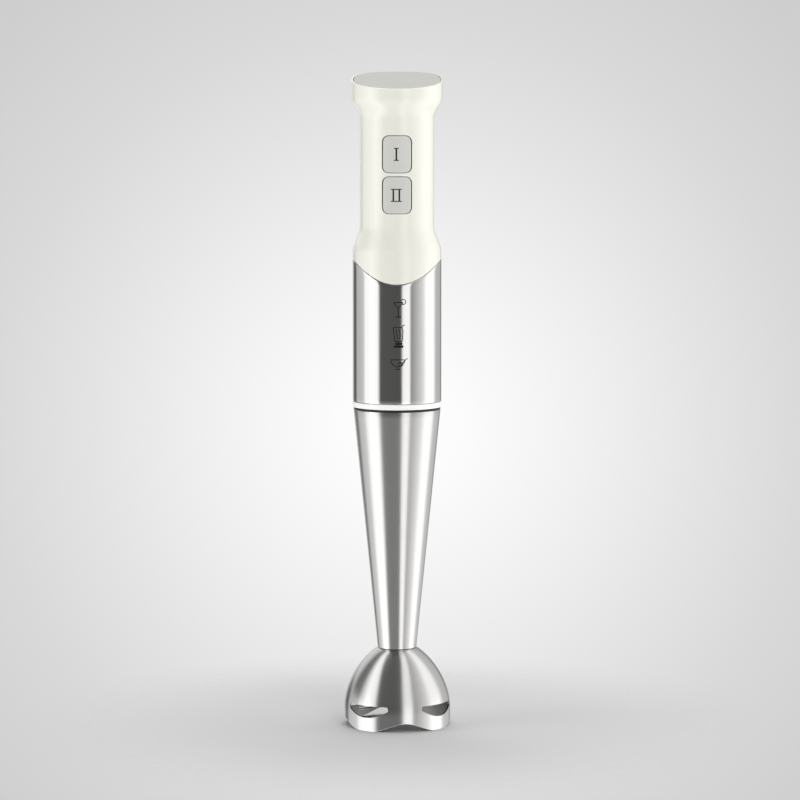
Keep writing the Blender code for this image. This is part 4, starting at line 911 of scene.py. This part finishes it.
def ring_part(name, inner, outer, bottom, top, start, end):
    """A piece of a ring between two angles in degrees from +X: its section, spun part of a turn."""
    piece = draw_outline(name, [(inner, 0, bottom), (outer, 0, bottom), (outer, 0, top), (inner, 0, top)])
    bpy.ops.mesh.select_all(action="SELECT")
    bpy.ops.mesh.edge_face_add()
    # One step for every three degrees. Spin turns clockwise, so the angle is negative.
    bpy.ops.mesh.spin(steps=max(3, round((end - start) / 3)), angle=math.radians(start - end),
                      center=(0, 0, 0), axis=(0, 0, 1), use_auto_merge=False)
    clean_up()
    swing(piece, start)
    return piece


def lug_middles():
    return [LUG_TURN + 360 * index / LUGS for index in range(LUGS)]


# The chamber is a hair wider than the slot below it, so that the two cuts don't share a face.
collar = turn_piece("collar", collar_profile())
for middle in lug_middles():
    entry = ring_part("entry", SPIGOT_BORE - MM, CHAMBER_R, COLLAR_Z - 3 * MM, LEDGE_Z + MM,
                      middle - SLOT_HALF, middle + SLOT_HALF)
    combine(collar, entry)
    chamber = ring_part("chamber", SPIGOT_BORE - MM, CHAMBER_R + PLAY, LEDGE_Z, BULKHEAD_Z - 0.4 * MM,
                        middle - SLOT_HALF - 1, middle + SLOT_HALF + TWIST)
    combine(collar, chamber)
for side in (-1, 1):
    combine(collar, rod("screw_hole", (side * SCREW_CIRCLE, 0, BULKHEAD_TOP), **SCREW_HOLE))
    combine(collar, rod("head_recess", (side * SCREW_CIRCLE, 0, BULKHEAD_Z), **HEAD_RECESS))
finish_piece(collar, "motor_unit", "white_plastic", "motor_collar")

# %% [markdown]
# The sleeve is a thin tube whose upper edge swings down at the front and the back in a deep U. The
# tube is turned with level rows first. A rule then lowers each column of points in the same
# proportion, so the rows stay smooth and the edge needs no cut.

# %% Turn the sleeve and swing its edge
def dip(y):
    """How far the sleeve's edge lies below its side tips."""
    return EDGE_DIP * (y / BODY_R) ** 2


def sleeve_profile():
    soft = 0.25 * MM
    inner = BODY_R - SLEEVE_WALL
    rows = [(BODY_R, z) for z in spaced(SLEEVE_TOP - soft, SLEEVE_Z + soft, 36)[1:-1]]
    outer = corner(BODY_R - soft, SLEEVE_TOP - soft, soft, 90) + rows
    outer += corner(BODY_R - soft, SLEEVE_Z + soft, soft, 0)
    return outer + [(inner, SLEEVE_Z), (inner, SLEEVE_TOP)]


def edge_rule(x, y, z):
    share = (z - SLEEVE_Z) / (SLEEVE_TOP - SLEEVE_Z)
    return x, y, z - dip(y) * share


sleeve = turn_piece("sleeve", sleeve_profile(), LARGE)
reshape(sleeve, edge_rule)
finish_piece(sleeve, "motor_unit", "polished_steel", "metal_sleeve")

# %% [markdown]
# ## The handle
#
# The handle is two cream mouldings that meet at the sides. It swells in a soft S at both ends of a
# straight waist, its top is cut off at a slant, and its lower edge follows the sleeve's. The whole
# shell is turned once, shaped by two rules, and then split into a front and a rear half, so both
# halves match exactly.

# %% Turn the whole shell
SHELL_SOFT = 0.4 * MM


def s_curve(r_top, z_top, r_low, z_low, count=14):
    return [(r_top + (r_low - r_top) * ease(t), z_top + (z_low - z_top) * t) for t in spaced(0, 1, count)]


def shell_profile():
    seat = FLANGE_R - CAP_RIM
    soft = SHELL_SOFT
    edge_z = SLEEVE_TOP + GAP
    waist_in = WAIST_R - HANDLE_WALL
    outer = [(seat, TOP_Z), *corner(FLANGE_R - soft, TOP_Z - soft, soft, 90)]
    outer += [(FLANGE_R, z) for z in spaced(TOP_Z - soft, FLANGE_Z, 6)[1:-1]]
    outer += s_curve(FLANGE_R, FLANGE_Z, WAIST_R, SHOULDER_Z)
    outer += [(WAIST_R, z) for z in spaced(SHOULDER_Z, WAIST_Z, 44)[1:-1]]
    outer += s_curve(WAIST_R, WAIST_Z, BODY_R, FLARE_LOW)
    outer += [(BODY_R, z) for z in spaced(FLARE_LOW, edge_z + soft, 6)[1:-1]]
    outer += corner(BODY_R - soft, edge_z + soft, soft, 0)
    outer += [(SKIRT_R, edge_z), (SKIRT_R, SKIRT_Z)]
    inner = [(SKIRT_INNER, SKIRT_Z), (SKIRT_INNER, FLARE_LOW)]
    inner += s_curve(SKIRT_INNER, FLARE_LOW, waist_in, WAIST_Z, 6)[1:]
    inner += s_curve(waist_in, SHOULDER_Z, CAP_PLUG, FLANGE_Z, 6)
    return outer + inner + [(CAP_PLUG, CAP_SEAT), (seat, CAP_SEAT)]


def top_rule(x, y, z):
    """Slants the top, and fills out the rear half of the flange."""
    radius = math.hypot(x, y)
    if y > 0 and radius > 0:
        c, s = abs(x) / radius, y / radius
        full = (c**REAR_POWER + s**REAR_POWER) ** (-1 / REAR_POWER)
        grow = 1 + (full - 1) * ease((z - SHOULDER_Z) / SHOULDER)
        x, y = x * grow, y * grow
    share = min(1.0, max(0.0, (z - FLANGE_Z) / (CAP_SEAT - FLANGE_Z)))
    return x, y, z + SLOPE * y * share


def lower_edge_rule(x, y, z):
    """Lets the shell's lower edge follow the sleeve, and leaves the skirt inside it level."""
    if z >= FLARE_LOW or z < SLEEVE_TOP or math.hypot(x, y) < SKIRT_R - PLAY:
        return x, y, z
    share = min(1.0, (FLARE_LOW - z) / (FLARE_LOW - SLEEVE_TOP - GAP - SHELL_SOFT))
    return x, y, z - dip(y) * share


shell = turn_piece("handle_shell", shell_profile(), LARGE)
reshape(shell, top_rule)
reshape(shell, lower_edge_rule)
print("handle from", round(SKIRT_Z, 4), "to", round(max(v.co.z for v in shell.data.vertices), 4))

# %% Split it into two halves
def half_of(whole, name, side):
    """A copy of a piece, cut at the middle. The side is -1 for the front and +1 for the rear."""
    piece = whole.copy()
    piece.data = whole.data.copy()
    piece.name = piece.data.name = name
    bpy.context.scene.collection.objects.link(piece)
    activate(piece)
    bpy.ops.object.mode_set(mode="EDIT")
    bpy.ops.mesh.select_all(action="SELECT")
    bpy.ops.mesh.bisect(plane_co=(0, side * GAP / 2, 0), plane_no=(0, side, 0), use_fill=True,
                        clear_inner=True)
    bpy.ops.object.mode_set(mode="OBJECT")
    return piece


front_shell = half_of(shell, "handle_front_shell", -1)
rear_shell = half_of(shell, "handle_rear_shell", 1)
bpy.data.objects.remove(shell, do_unlink=True)
print("two halves,", round(GAP / MM, 2), "mm apart")

# %% [markdown]
# The front half has a window for each button. A window is a block whose four long edges are bevelled
# round, a hair larger than the key that moves in it. The rear half has two deep recesses for the case
# screws, each in a boss of its own, and a hole for the cord's bush.

# %% Cut the button windows
KEY_WIDTH = 17.3 * MM
KEY_HEIGHT = 21.9 * MM
KEY_CORNER = 3.7 * MM
SLIT = 0.36 * MM  # between a key and its window
WINDOW_REACH = (-40 * MM, -5 * MM)  # along Y, through the front wall


def select_parts(piece, kind, test):
    """Selects the faces or edges that pass a test, in edit mode."""
    bpy.ops.mesh.select_mode(type=kind)
    bpy.ops.mesh.select_all(action="DESELECT")
    work = bmesh.from_edit_mesh(piece.data)
    for part in work.edges if kind == "EDGE" else work.faces:
        part.select_set(test(part))
    bmesh.update_edit_mesh(piece.data)


def along_y(edge):
    first, last = (vertex.co for vertex in edge.verts)
    return abs((last - first).normalized().y) > 0.99


def key_block(name, z, width, height, radius, front, back):
    """A block along Y with four round corners."""
    piece = block(name, (0, (front + back) / 2, z), (width, back - front, height))
    bpy.ops.object.mode_set(mode="EDIT")
    select_parts(piece, "EDGE", along_y)
    bpy.ops.mesh.bevel(offset=radius, offset_type="OFFSET", segments=10)
    bpy.ops.object.mode_set(mode="OBJECT")
    return piece


for name, z in BUTTON_Z.items():
    combine(front_shell, key_block(name + "_window", z, KEY_WIDTH + 2 * SLIT, KEY_HEIGHT + 2 * SLIT,
                                   KEY_CORNER + SLIT, *WINDOW_REACH))
finish_piece(front_shell, "motor_unit", "cream_plastic", "handle_front")

# %% Cut the rear half
CASE_SCREWS = {name: (low(name).z + high(name).z) / 2 for name in ("case_screw_low", "case_screw_high")}
SCREW_SEAT = 14.0 * MM  # along Y, where the screw's head rests
BOSS_R = 4.6 * MM
BOSS_END = 22.5 * MM
HEAD_BORE = 3.2 * MM
SHANK_BORE = 1.8 * MM
BUSH_HOLE = 4.5 * MM


def rod_through(name, start, end, z, radius, sides=48):
    """A rod along Y, on the handle's middle."""
    return rod(name, (0, (start + end) / 2, z), radius, end - start, "Y", sides)


for name, z in CASE_SCREWS.items():
    combine(rear_shell, rod_through(name + "_boss", GAP, BOSS_END, z, BOSS_R), "UNION")
    combine(rear_shell, rod_through("head_bore", SCREW_SEAT, SCREW_SEAT + 40 * MM, z, HEAD_BORE))
    combine(rear_shell, rod_through("shank_bore", -5 * MM, 25 * MM, z, SHANK_BORE, 32))
combine(rear_shell, rod_through("bush_hole", 15 * MM, 40 * MM, GLAND_Z, BUSH_HOLE))
finish_piece(rear_shell, "motor_unit", "cream_plastic", "handle_rear")

# %% [markdown]
# ## The cap, the screws and the cord's bush
#
# The grey cap closes the slanted top. It is turned level and then follows the same rule as the shell,
# which is why it fits inside the rim all round. At the back sit two pan-head screws and the rubber
# bush that the cord would come out of.

# %% Cap
def cap_profile():
    edge_r = FLANGE_R - CAP_RIM - GAP
    plug = CAP_PLUG - GAP
    plug_inner = plug - 1.6 * MM
    soft = 0.45 * MM
    under = TOP_Z - CAP_THICK
    inside = under - 0.8 * MM
    plug_low = TOP_Z - 4.2 * MM
    face = [(edge_r * t, TOP_Z) for t in spaced(0, 0.97, 8)]
    return face + corner(edge_r - soft, TOP_Z - soft, soft, 90) + [
        (edge_r, under), (plug, under), (plug, plug_low), (plug_inner, plug_low), (plug_inner, inside),
        (0, inside)]


def cap_rule(x, y, z):
    px, py, _ = top_rule(x, y, TOP_Z)
    return px, py, z + SLOPE * py


cap = turn_piece("slanted_cap", cap_profile(), LARGE)
reshape(cap, cap_rule)
# The cap takes the darkened grey: painted shade on its up-facing top.
finish_piece(cap, "motor_unit", "grey_plastic", "top_cap", material="cap_plastic_painted_shade")

# %% Case screws with a cross recess
PAN_R = 2.8 * MM
PAN_DOME = 0.9 * MM
SCREW_SHANK = 1.4 * MM
THREAD = 0.3 * MM  # depth of a thread
THREADS = 18
CROSS = (3.2 * MM, 0.6 * MM)  # length and width of each arm
CROSS_DEEP = 1.1 * MM
CROSS_TAPER = 0.55


def case_screw_profile(tip, seat, top):
    shank = SCREW_SHANK
    dome_low = top - PAN_DOME
    start, end = tip + 1.2 * MM, seat - 1.2 * MM
    thread = []
    for y in spaced(start, end, THREADS)[:-1]:
        thread += [(shank, y), (shank - THREAD, y + THREAD)]
    pan = [(PAN_R * math.cos(a), dome_low + PAN_DOME * math.sin(a))
           for a in spaced(0.1, math.pi / 2, 7)[:-1]]
    head = [(PAN_R, seat), (PAN_R, dome_low), *pan, (0, top)]
    return [(0, tip), (0.5 * MM, tip), *thread, (shank, seat), *head]


def case_screw(name, z):
    top = high(name).y
    profile = case_screw_profile(low(name).y, SCREW_SEAT + GAP, top)
    screw = turn_piece(name + "_pan", profile, 40, (0, 0, z), "Y")
    for width, height in (CROSS, CROSS[::-1]):
        slot = block("slot", (0, top, z), (width, 2 * CROSS_DEEP, height))
        bpy.ops.object.mode_set(mode="EDIT")
        select_parts(slot, "FACE", lambda face: face.normal.y < -0.9)
        bpy.ops.transform.resize(value=(CROSS_TAPER, 1, CROSS_TAPER), center_override=(0, top, z))
        bpy.ops.object.mode_set(mode="OBJECT")
        combine(screw, slot)
    finish_piece(screw, "motor_unit", "zinc_steel", name)


for name, z in CASE_SCREWS.items():
    case_screw(name, z)

# %% The cord's bush
def bush_profile():
    start, end = low("cord_gland").y, high("cord_gland").y
    bore, waist = 3.3 * MM, 4.2 * MM
    inner_flange, outer_flange = 5.4 * MM, 5.8 * MM
    thick = 1.2 * MM
    soft = 0.35 * MM
    inner = [(bore, start), (inner_flange, start), (inner_flange, start + thick), (waist, start + thick)]
    outer = [(waist, end - thick), (outer_flange, end - thick)]
    rim = [(outer_flange - soft + soft * math.cos(a), end - soft + soft * math.sin(a))
           for a in spaced(0, math.pi / 2, 4)]
    deep = end - 0.3 * MM
    groove = [(4.9 * MM, end), (4.7 * MM, deep), (4.3 * MM, deep), (4.1 * MM, end)]
    return inner + outer + rim + groove + [(bore + soft, end), (bore, end - soft)]


bush = turn_piece("cord_bush", bush_profile(), 64, (0, 0, GLAND_Z), "Y")
finish_piece(bush, "motor_unit", "black_rubber", "cord_gland")

# %% [markdown]
# ## The buttons
#
# Each key is a grey block with round corners whose face follows the handle. The block's face is inset
# for a soft edge, sliced upright so that it can bend, and then wrapped round the handle's axis by a
# rule. The numeral on it is a thin raised print, wrapped the same way. Behind the face a flange keeps
# the key in, and a stem pushes the switch.

# %% Model one key and wrap it
KEY_R = WAIST_R + 0.4 * MM
KEY_DEPTH = 4.4 * MM
KEY_EDGE = ((0.06, 0.0), (0.16, 0.025), (0.20, 0.08), (0.22, 0.145))  # insets, and how far each one rises
KEY_SLICES = 24
FLANGE_FACE = -15.77 * MM  # the retaining flange's front
FLANGE_WIDER = 2.6 * MM  # than the key
FLANGE_HIGHER = 1.6 * MM
KEY_STEM_R = 2.2 * MM


def wrap(x, y, z, radius=KEY_R):
    """Bends what is drawn on the plane y = 0 round the axis, at a radius. -Y stays outwards."""
    angle = x / radius
    reach = radius - y
    return reach * math.sin(angle), -reach * math.cos(angle), z


def key_face(name, z):
    piece = key_block(name, z, KEY_WIDTH, KEY_HEIGHT, KEY_CORNER, 0.0, KEY_DEPTH)
    activate(piece)
    bpy.ops.object.mode_set(mode="EDIT")
    select_parts(piece, "FACE", lambda face: face.normal.y < -0.9)
    for inset, rise in KEY_EDGE:
        bpy.ops.mesh.inset(thickness=inset * MM, depth=0.0)
        bpy.ops.transform.translate(value=(0, -rise * MM, 0))
    for x in spaced(-KEY_WIDTH / 2, KEY_WIDTH / 2, KEY_SLICES)[1:-1]:
        bpy.ops.mesh.select_all(action="SELECT")
        bpy.ops.mesh.bisect(plane_co=(x, 0, 0), plane_no=(1, 0, 0))
    bpy.ops.object.mode_set(mode="OBJECT")
    proud = -min(vertex.co.y for vertex in piece.data.vertices)
    reshape(piece, lambda x, y, h: wrap(x, y + proud, h))
    return piece


def key_back(name, z):
    """The retaining flange and the stem, which only the switch sees."""
    flange = key_block(name + "_flange", z, KEY_WIDTH + FLANGE_WIDER, KEY_HEIGHT + FLANGE_HIGHER,
                       KEY_CORNER, FLANGE_FACE, FLANGE_FACE + MM)
    stem = rod_through(name + "_stem", FLANGE_FACE, high(name).y, z, KEY_STEM_R, 32)
    combine(flange, stem, "UNION")
    return flange


def make_key(name, body):
    z = BUTTON_Z[name]
    face = key_face(name + "_key", z)
    core = key_block(name + "_core", z, KEY_WIDTH - 2 * MM, KEY_HEIGHT - 2 * MM, KEY_CORNER - MM,
                     -KEY_R + 2.5 * MM, FLANGE_FACE + 0.5 * MM)
    combine(face, core, "UNION")
    combine(face, key_back(name, z), "UNION")
    finish_piece(face, body, "grey_plastic", name, angle=25.0)


make_key("button_one", "speed_one_key")
make_key("button_two", "speed_two_key")

# %% Numerals
NUMERAL_HEIGHT = 7.7 * MM
STEM = 0.95 * MM  # width of an upright
SERIF = 0.55 * MM
PRINT = 0.06 * MM  # thickness of the print above the key
NUMERAL_X = -0.4 * MM
# Each numeral's uprights, the width of its serifs, the key it is on and that key's body.
NUMERALS = {
    "numeral_one": ((0.0,), 2.9 * MM, "button_one", "speed_one_key"),
    "numeral_two": ((-1.8 * MM, 1.8 * MM), 6.6 * MM, "button_two", "speed_two_key"),
}


def bar(name, x0, x1, z0, z1):
    """A thin rectangle with points along its level edges, so that it bends with the key."""
    lower = [(x, z0) for x in spaced(x0, x1, 4)]
    upper = [(x, z1) for x in spaced(x1, x0, 4)]
    return slab(name, lower + upper, -PRINT, PRINT)


def numeral(name, uprights, serif_width, key, body):
    """Uprights between two thin serifs, printed on the key."""
    bottom, top = BUTTON_Z[key] - NUMERAL_HEIGHT / 2, BUTTON_Z[key] + NUMERAL_HEIGHT / 2
    half = serif_width / 2
    bars = [bar(name, x - STEM / 2, x + STEM / 2, bottom, top) for x in uprights]
    bars += [bar(name, -half, half, bottom, bottom + SERIF), bar(name, -half, half, top - SERIF, top)]
    whole = bars[0]
    for other in bars[1:]:
        combine(whole, other, "UNION")
    whole.name = whole.data.name = name
    reshape(whole, lambda x, y, z: wrap(x + NUMERAL_X, y, z))
    finish_piece(whole, body, "black_plastic", material="printed_ink")


for name, values in NUMERALS.items():
    numeral(name, *values)

# %% [markdown]
# ## Pictograms on the sleeve
#
# Three small dark outlines are printed on the polished sleeve: a glass, a jar and a bowl. They are
# plain generic drawings. A stroke is a curve with a round section. It is made into a mesh, pressed
# flat, and wrapped round the sleeve like the numerals.

# %% Strokes and drawings
PRINT_R = BODY_R + 0.02 * MM
ICON_X = 0.8 * MM
BOLD = 1.4  # how much broader the strokes are than they are listed
FLATNESS = 0.12  # of a stroke's thickness to its width


def stroke(points, width):
    """A band of even width along a line of points, in millimetres.

    A closed line ends where it starts.
    """
    closed = points[0] == points[-1]
    path = bpy.data.curves.new("stroke", "CURVE")
    path.dimensions = "3D"
    path.bevel_depth = width / 2
    path.bevel_resolution = 1
    path.use_fill_caps = not closed
    line = path.splines.new("POLY")
    kept = points[:-1] if closed else points
    line.points.add(len(kept) - 1)
    for point, (x, z) in zip(line.points, kept):
        point.co = (x, 0.0, z, 1.0)
    line.use_cyclic_u = closed
    item = bpy.data.objects.new("stroke", path)
    bpy.context.scene.collection.objects.link(item)
    activate(item)
    bpy.ops.object.convert(target="MESH")
    return bpy.context.object


def circle(x, z, radius, start=0, end=360, count=20):
    return [(x + radius * math.cos(math.radians(a)), z + radius * math.sin(math.radians(a)))
            for a in spaced(start, end, count)]


def finely(points, step=0.6):
    """The same line with more points, so that it bends with the sleeve."""
    line = [points[0]]
    for (x0, z0), (x1, z1) in zip(points, points[1:]):
        count = max(1, math.ceil(math.hypot(x1 - x0, z1 - z0) / step))
        line += [(x0 + (x1 - x0) * i / count, z0 + (z1 - z0) * i / count) for i in range(1, count + 1)]
    return line


def icon(name, base_z, lines):
    """Draws the lines, joins them and prints them on the sleeve."""
    strokes = [stroke(finely(points), width * BOLD) for points, width in lines]
    deselect()
    for item in strokes:
        item.select_set(True)
    bpy.context.view_layer.objects.active = strokes[0]
    bpy.ops.object.join()
    piece = bpy.context.object
    piece.name = piece.data.name = name
    reshape(piece, lambda x, y, z: wrap(
        x * MM + ICON_X, y * FLATNESS * MM, base_z + z * MM, PRINT_R))
    activate(piece)
    bpy.ops.object.mode_set(mode="EDIT")
    bpy.ops.mesh.select_all(action="SELECT")
    bpy.ops.mesh.normals_make_consistent(inside=False)
    bpy.ops.object.mode_set(mode="OBJECT")
    finish_piece(piece, "motor_unit", "black_plastic", material="printed_ink")


# The drawings in millimetres above their own base line. Each stroke is a line of points and a width.
GLASS = (
    ([(-2.9, 9.0), (2.9, 9.0), (0.0, 5.4), (-2.9, 9.0)], 0.42),
    ([(0.0, 5.4), (0.0, 0.3)], 0.42),
    ([(-1.8, 0.2), (1.8, 0.2)], 0.5),
    (circle(3.0, 9.3, 1.5), 0.4),
)
JAR = (
    ([(-2.2, 3.9), (-3.1, 12.4), (2.1, 12.4), (2.9, 13.6), (3.9, 13.6)], 0.42),
    ([(2.1, 12.4), (2.8, 10.5), (2.6, 5.6), (2.2, 3.9), (-2.2, 3.9)], 0.42),
    ([(-1.3, 11.2), (-0.6, 5.2)], 0.36),
    ([(0.2, 11.6), (1.2, 8.2), (0.6, 5.2)], 0.36),
    ([(-1.8, 2.6), (2.4, 2.6)], 1.2),
    ([(-2.6, 0.9), (3.0, 0.9)], 1.2),
)
BOWL = (
    ([(-4.6, 6.6), (4.0, 6.6)], 0.42),
    (circle(-0.3, 6.6, 4.2, 180, 360, 16), 0.42),
    ([(-1.7, 1.0), (1.1, 1.0)], 0.5),
    ([(5.6, 7.6), (2.6, 4.9)], 0.42),
    (circle(1.4, 3.9, 1.3), 0.36),
    (circle(1.6, 4.0, 0.6), 0.3),
)
ICONS = {
    "icon_glass": (251.3 * MM, GLASS),
    "icon_jar": (232.9 * MM, JAR),
    "icon_bowl": (219.2 * MM, BOWL),
}
for name, (base_z, lines) in ICONS.items():
    icon(name, base_z, lines)

# %% [markdown]
# ## Blade and spindle
#
# The blade is one sheet with two swept wings, one bent up and the other down, and each is ground thin
# along its edges. It starts as a grid, is extruded to its thickness, and a rule gives it the sweep,
# the bend and the grind. The nut, the spindle and the seal around it show through the windows and from
# below.

# %% Blade
BLADE_R = 23.5 * MM
BLADE_Z = 11.8 * MM
BLADE_THICK = 1.0 * MM
BLADE_FLAT = 5.5 * MM  # from the axis to where a wing starts to bend
BLADE_BEND = 4.0 * MM  # over which it bends
CLIMB = (0.24, -0.20)  # of the wing towards +X and of the other
HALF_WIDTH = 6.2 * MM  # in the middle
TAPER = 4.0 * MM  # how much less that is at the tips
TAPER_POWER = 1.6
SWEEP = 5.0 * MM
GRIND_FROM = 0.45  # share of the half width where the grind starts
GRIND_ROOT = 0.22  # share of the length where it starts
GRIND_DEEP = 0.82
SPINDLE_R = 2.5 * MM


def blade_height(along):
    beyond = max(0.0, abs(along) - BLADE_FLAT)
    return BLADE_Z + CLIMB[along <= 0] * beyond * ease(beyond / BLADE_BEND)


def blade_rule(u, w, side):
    """u runs along the blade and w across it, from -1 to 1. The side is 1 above and 0 below."""
    along = BLADE_R * u
    half = HALF_WIDTH - TAPER * abs(u) ** TAPER_POWER
    grind = ease((abs(w) - GRIND_FROM) / (1 - GRIND_FROM)) * ease((abs(u) - GRIND_ROOT) / 0.2)
    thick = BLADE_THICK * (1 - GRIND_DEEP * grind)
    return along, -SWEEP * u * abs(u) + half * w, blade_height(along) + (side - 0.5) * thick


def make_blade():
    deselect()
    bpy.ops.mesh.primitive_grid_add(x_subdivisions=64, y_subdivisions=14, size=2)
    blade = bpy.context.object
    blade.name = blade.data.name = "blade_sheet"
    bpy.ops.object.mode_set(mode="EDIT")
    bpy.ops.mesh.extrude_region_move(TRANSFORM_OT_translate={"value": (0, 0, 1)})
    clean_up()
    reshape(blade, blade_rule)
    combine(blade, rod("blade_hole", (0, 0, BLADE_Z), SPINDLE_R + GAP, 6 * MM, sides=48))
    finish_piece(blade, "blade_drive", "blade_steel", "blade")


make_blade()

# %% Nut and spindle
NUT_R = 4.8 * MM  # to its corners
THREAD_TURNS = 8
THREAD_PITCH = 0.42 * MM
SHOULDER_R = 4.2 * MM  # of the spindle's shoulder, which the blade rests against


def make_nut():
    top, bottom = high("blade_nut").z, low("blade_nut").z
    face_r, wide, bevel = 4.35 * MM, 5.2 * MM, 0.5 * MM
    nut = rod("nut", (0, 0, (top + bottom) / 2), NUT_R, top - bottom, sides=6)
    cone = turn_piece("nut_chamfer", [
        (0, top), (face_r, top), (wide, top - bevel), (wide, bottom + bevel), (face_r, bottom),
        (0, bottom)], 64)
    combine(nut, cone, "INTERSECT")
    combine(nut, rod("nut_bore", (0, 0, BLADE_Z), SPINDLE_R + GAP, 30 * MM, sides=48))
    finish_piece(nut, "blade_drive", "blade_steel", "blade_nut")


def spindle_profile():
    tip, end = high("spindle").z, low("spindle").z
    blade_top = BLADE_Z + BLADE_THICK / 2 + GAP
    soft = 0.4 * MM
    core = SPINDLE_R - 0.2 * MM
    thread = []
    for index in range(THREAD_TURNS):
        z = blade_top - 1.2 * MM - THREAD_PITCH * index
        if z > end + soft:
            thread += [(SPINDLE_R, z), (core, z - 0.2 * MM)]
    shoulder = [(SHOULDER_R - 0.2 * MM, blade_top + 4.6 * MM), (SHOULDER_R, blade_top + 4.3 * MM),
                (SHOULDER_R, blade_top)]
    return [(0, tip), (SPINDLE_R - soft, tip), (SPINDLE_R, tip - soft), (SPINDLE_R, blade_top + 6.0 * MM),
            *shoulder, (SPINDLE_R, blade_top), *thread, (core, end + soft), (SPINDLE_R - soft, end),
            (0, end)]


make_nut()
finish_piece(turn_piece("spindle_rod", spindle_profile(), 48), "blade_drive", "blade_steel", "spindle")

# %% Seal cup and seal
def cup_profile():
    top, bottom = high("seal_cup").z, low("seal_cup").z
    radius = high("seal_cup").x
    wall = 1.0 * MM
    hole = SPINDLE_R + GAP + 0.6 * MM
    soft = 0.6 * MM
    return [(radius, top), *corner(radius - soft, bottom + soft, soft, 0), (hole, bottom),
            (hole, bottom + wall), (radius - wall, bottom + wall), (radius - wall, top)]


def seal_profile():
    top, bottom = high("shaft_seal").z, low("shaft_seal").z
    radius = high("shaft_seal").x
    bore = SPINDLE_R + GAP
    return [(radius, top), (radius, bottom), (bore + 0.5 * MM, bottom), (bore, bottom + 0.5 * MM),
            (bore, bottom + 1.2 * MM), (bore + 1.6 * MM, top)]


finish_piece(turn_piece("seal_housing", cup_profile(), 96), "foot", "brushed_steel", "seal_cup")
finish_piece(turn_piece("lip_seal", seal_profile(), 72), "foot", "black_rubber", "shaft_seal")

# %% [markdown]
# ## What shows when the motor unit is lifted off
#
# When the motor unit is lifted off the foot, the foot's black plug with its three lugs shows, with the
# driven coupler in the middle, and up inside the socket the motor's own coupler. They are turned and
# joined like the rest.

# %% Plug with lugs
SPIGOT_R = 17.6 * MM
SPIGOT_WALL = 1.8 * MM
LUG_REACH = 2.8 * MM
LUG_LEVELS = (LEDGE_Z + 0.7 * MM, LEDGE_Z + 3.7 * MM)


def plug_profile():
    top, bottom = high("bayonet_insert").z, SEAM_Z - 7.9 * MM
    inner = SPIGOT_R - SPIGOT_WALL
    hub, bore = SPINDLE_R + 4.7 * MM, SPINDLE_R + 2.1 * MM
    hub_low, hub_top, web = bottom - 6.0 * MM, bottom + 4.0 * MM, bottom + 2.5 * MM
    soft = 0.4 * MM
    seat = SEAM_Z - GAP

    def within(z):
        """The radius that fits inside the shaft at a height."""
        slope = (SHAFT_R - SHAFT_NECK_R) / (SEAM_Z - low("shaft_tube").z)
        return SHAFT_R - (SEAM_Z - z) * slope - SHAFT_WALL - GAP

    return [(SPIGOT_R - soft, top), (SPIGOT_R, top - soft), (SPIGOT_R, seat), (within(seat), seat),
            (within(bottom), bottom), (hub, bottom), (hub, hub_low), (bore, hub_low), (bore, hub_top),
            (hub, hub_top), (hub, web), (inner, web), (inner, top - soft), (inner + soft, top)]


plug = turn_piece("bayonet_plug", plug_profile())
for middle in lug_middles():
    lug = ring_part("lug", SPIGOT_R - MM, SPIGOT_R + LUG_REACH, *LUG_LEVELS,
                    middle - LUG_HALF, middle + LUG_HALF)
    combine(plug, lug, "UNION")
finish_piece(plug, "foot", "black_plastic", "bayonet_insert")

# %% The two couplers
COUPLER_R = 8.0 * MM
HUB_R = 4.2 * MM
ARM_START = 3.4 * MM  # from the axis, inside the hub
ARM_WIDTH = 3.0 * MM
ARM_HEIGHT = 3.4 * MM
DOG_HALF = 20.0  # degrees to each side of a dog's middle


def make_driven():
    bottom, top = low("driven_coupler").z, high("driven_coupler").z
    bore = SPINDLE_R + GAP
    depth = COLLAR_Z + 4.7 * MM
    soft = 0.5 * MM
    hub = turn_piece("driven_head", [
        (0, top), *corner(HUB_R - soft, top - soft, soft, 90), (HUB_R, bottom), (bore, bottom),
        (bore, depth), (0, depth)], 64)
    reach = COUPLER_R - 0.6 * MM
    for side in (-1, 1):
        middle = (side * (reach + ARM_START) / 2, 0, top - 0.2 * MM - ARM_HEIGHT / 2)
        arm = block("arm", middle, (reach - ARM_START, ARM_WIDTH, ARM_HEIGHT))
        soften(arm, 0.3 * MM)
        combine(hub, arm, "UNION")
    finish_piece(hub, "blade_drive", "black_plastic", "driven_coupler")


def make_driver():
    top = high("drive_coupler").z
    bore, disc_low, disc_top = 1.9 * MM, COLLAR_Z + 8.2 * MM, COLLAR_Z + 11.4 * MM
    hub, depth = 4.6 * MM, COLLAR_Z + 9.0 * MM
    soft = 0.4 * MM
    disc = turn_piece("driver_disc", [
        (bore, top), (hub - soft, top), (hub, top - soft), (hub, disc_top), (COUPLER_R - soft, disc_top),
        (COUPLER_R, disc_top - soft), (COUPLER_R, disc_low), (0, disc_low), (0, depth),
        (bore, depth)], 96)
    for middle in (90, 270):
        combine(disc, ring_part("dog", HUB_R + 0.5 * MM, COUPLER_R - 0.1 * MM, low("drive_coupler").z,
                                disc_low + MM, middle - DOG_HALF, middle + DOG_HALF), "UNION")
    finish_piece(disc, "rotor", "nylon", "drive_coupler")


make_driven()
make_driver()
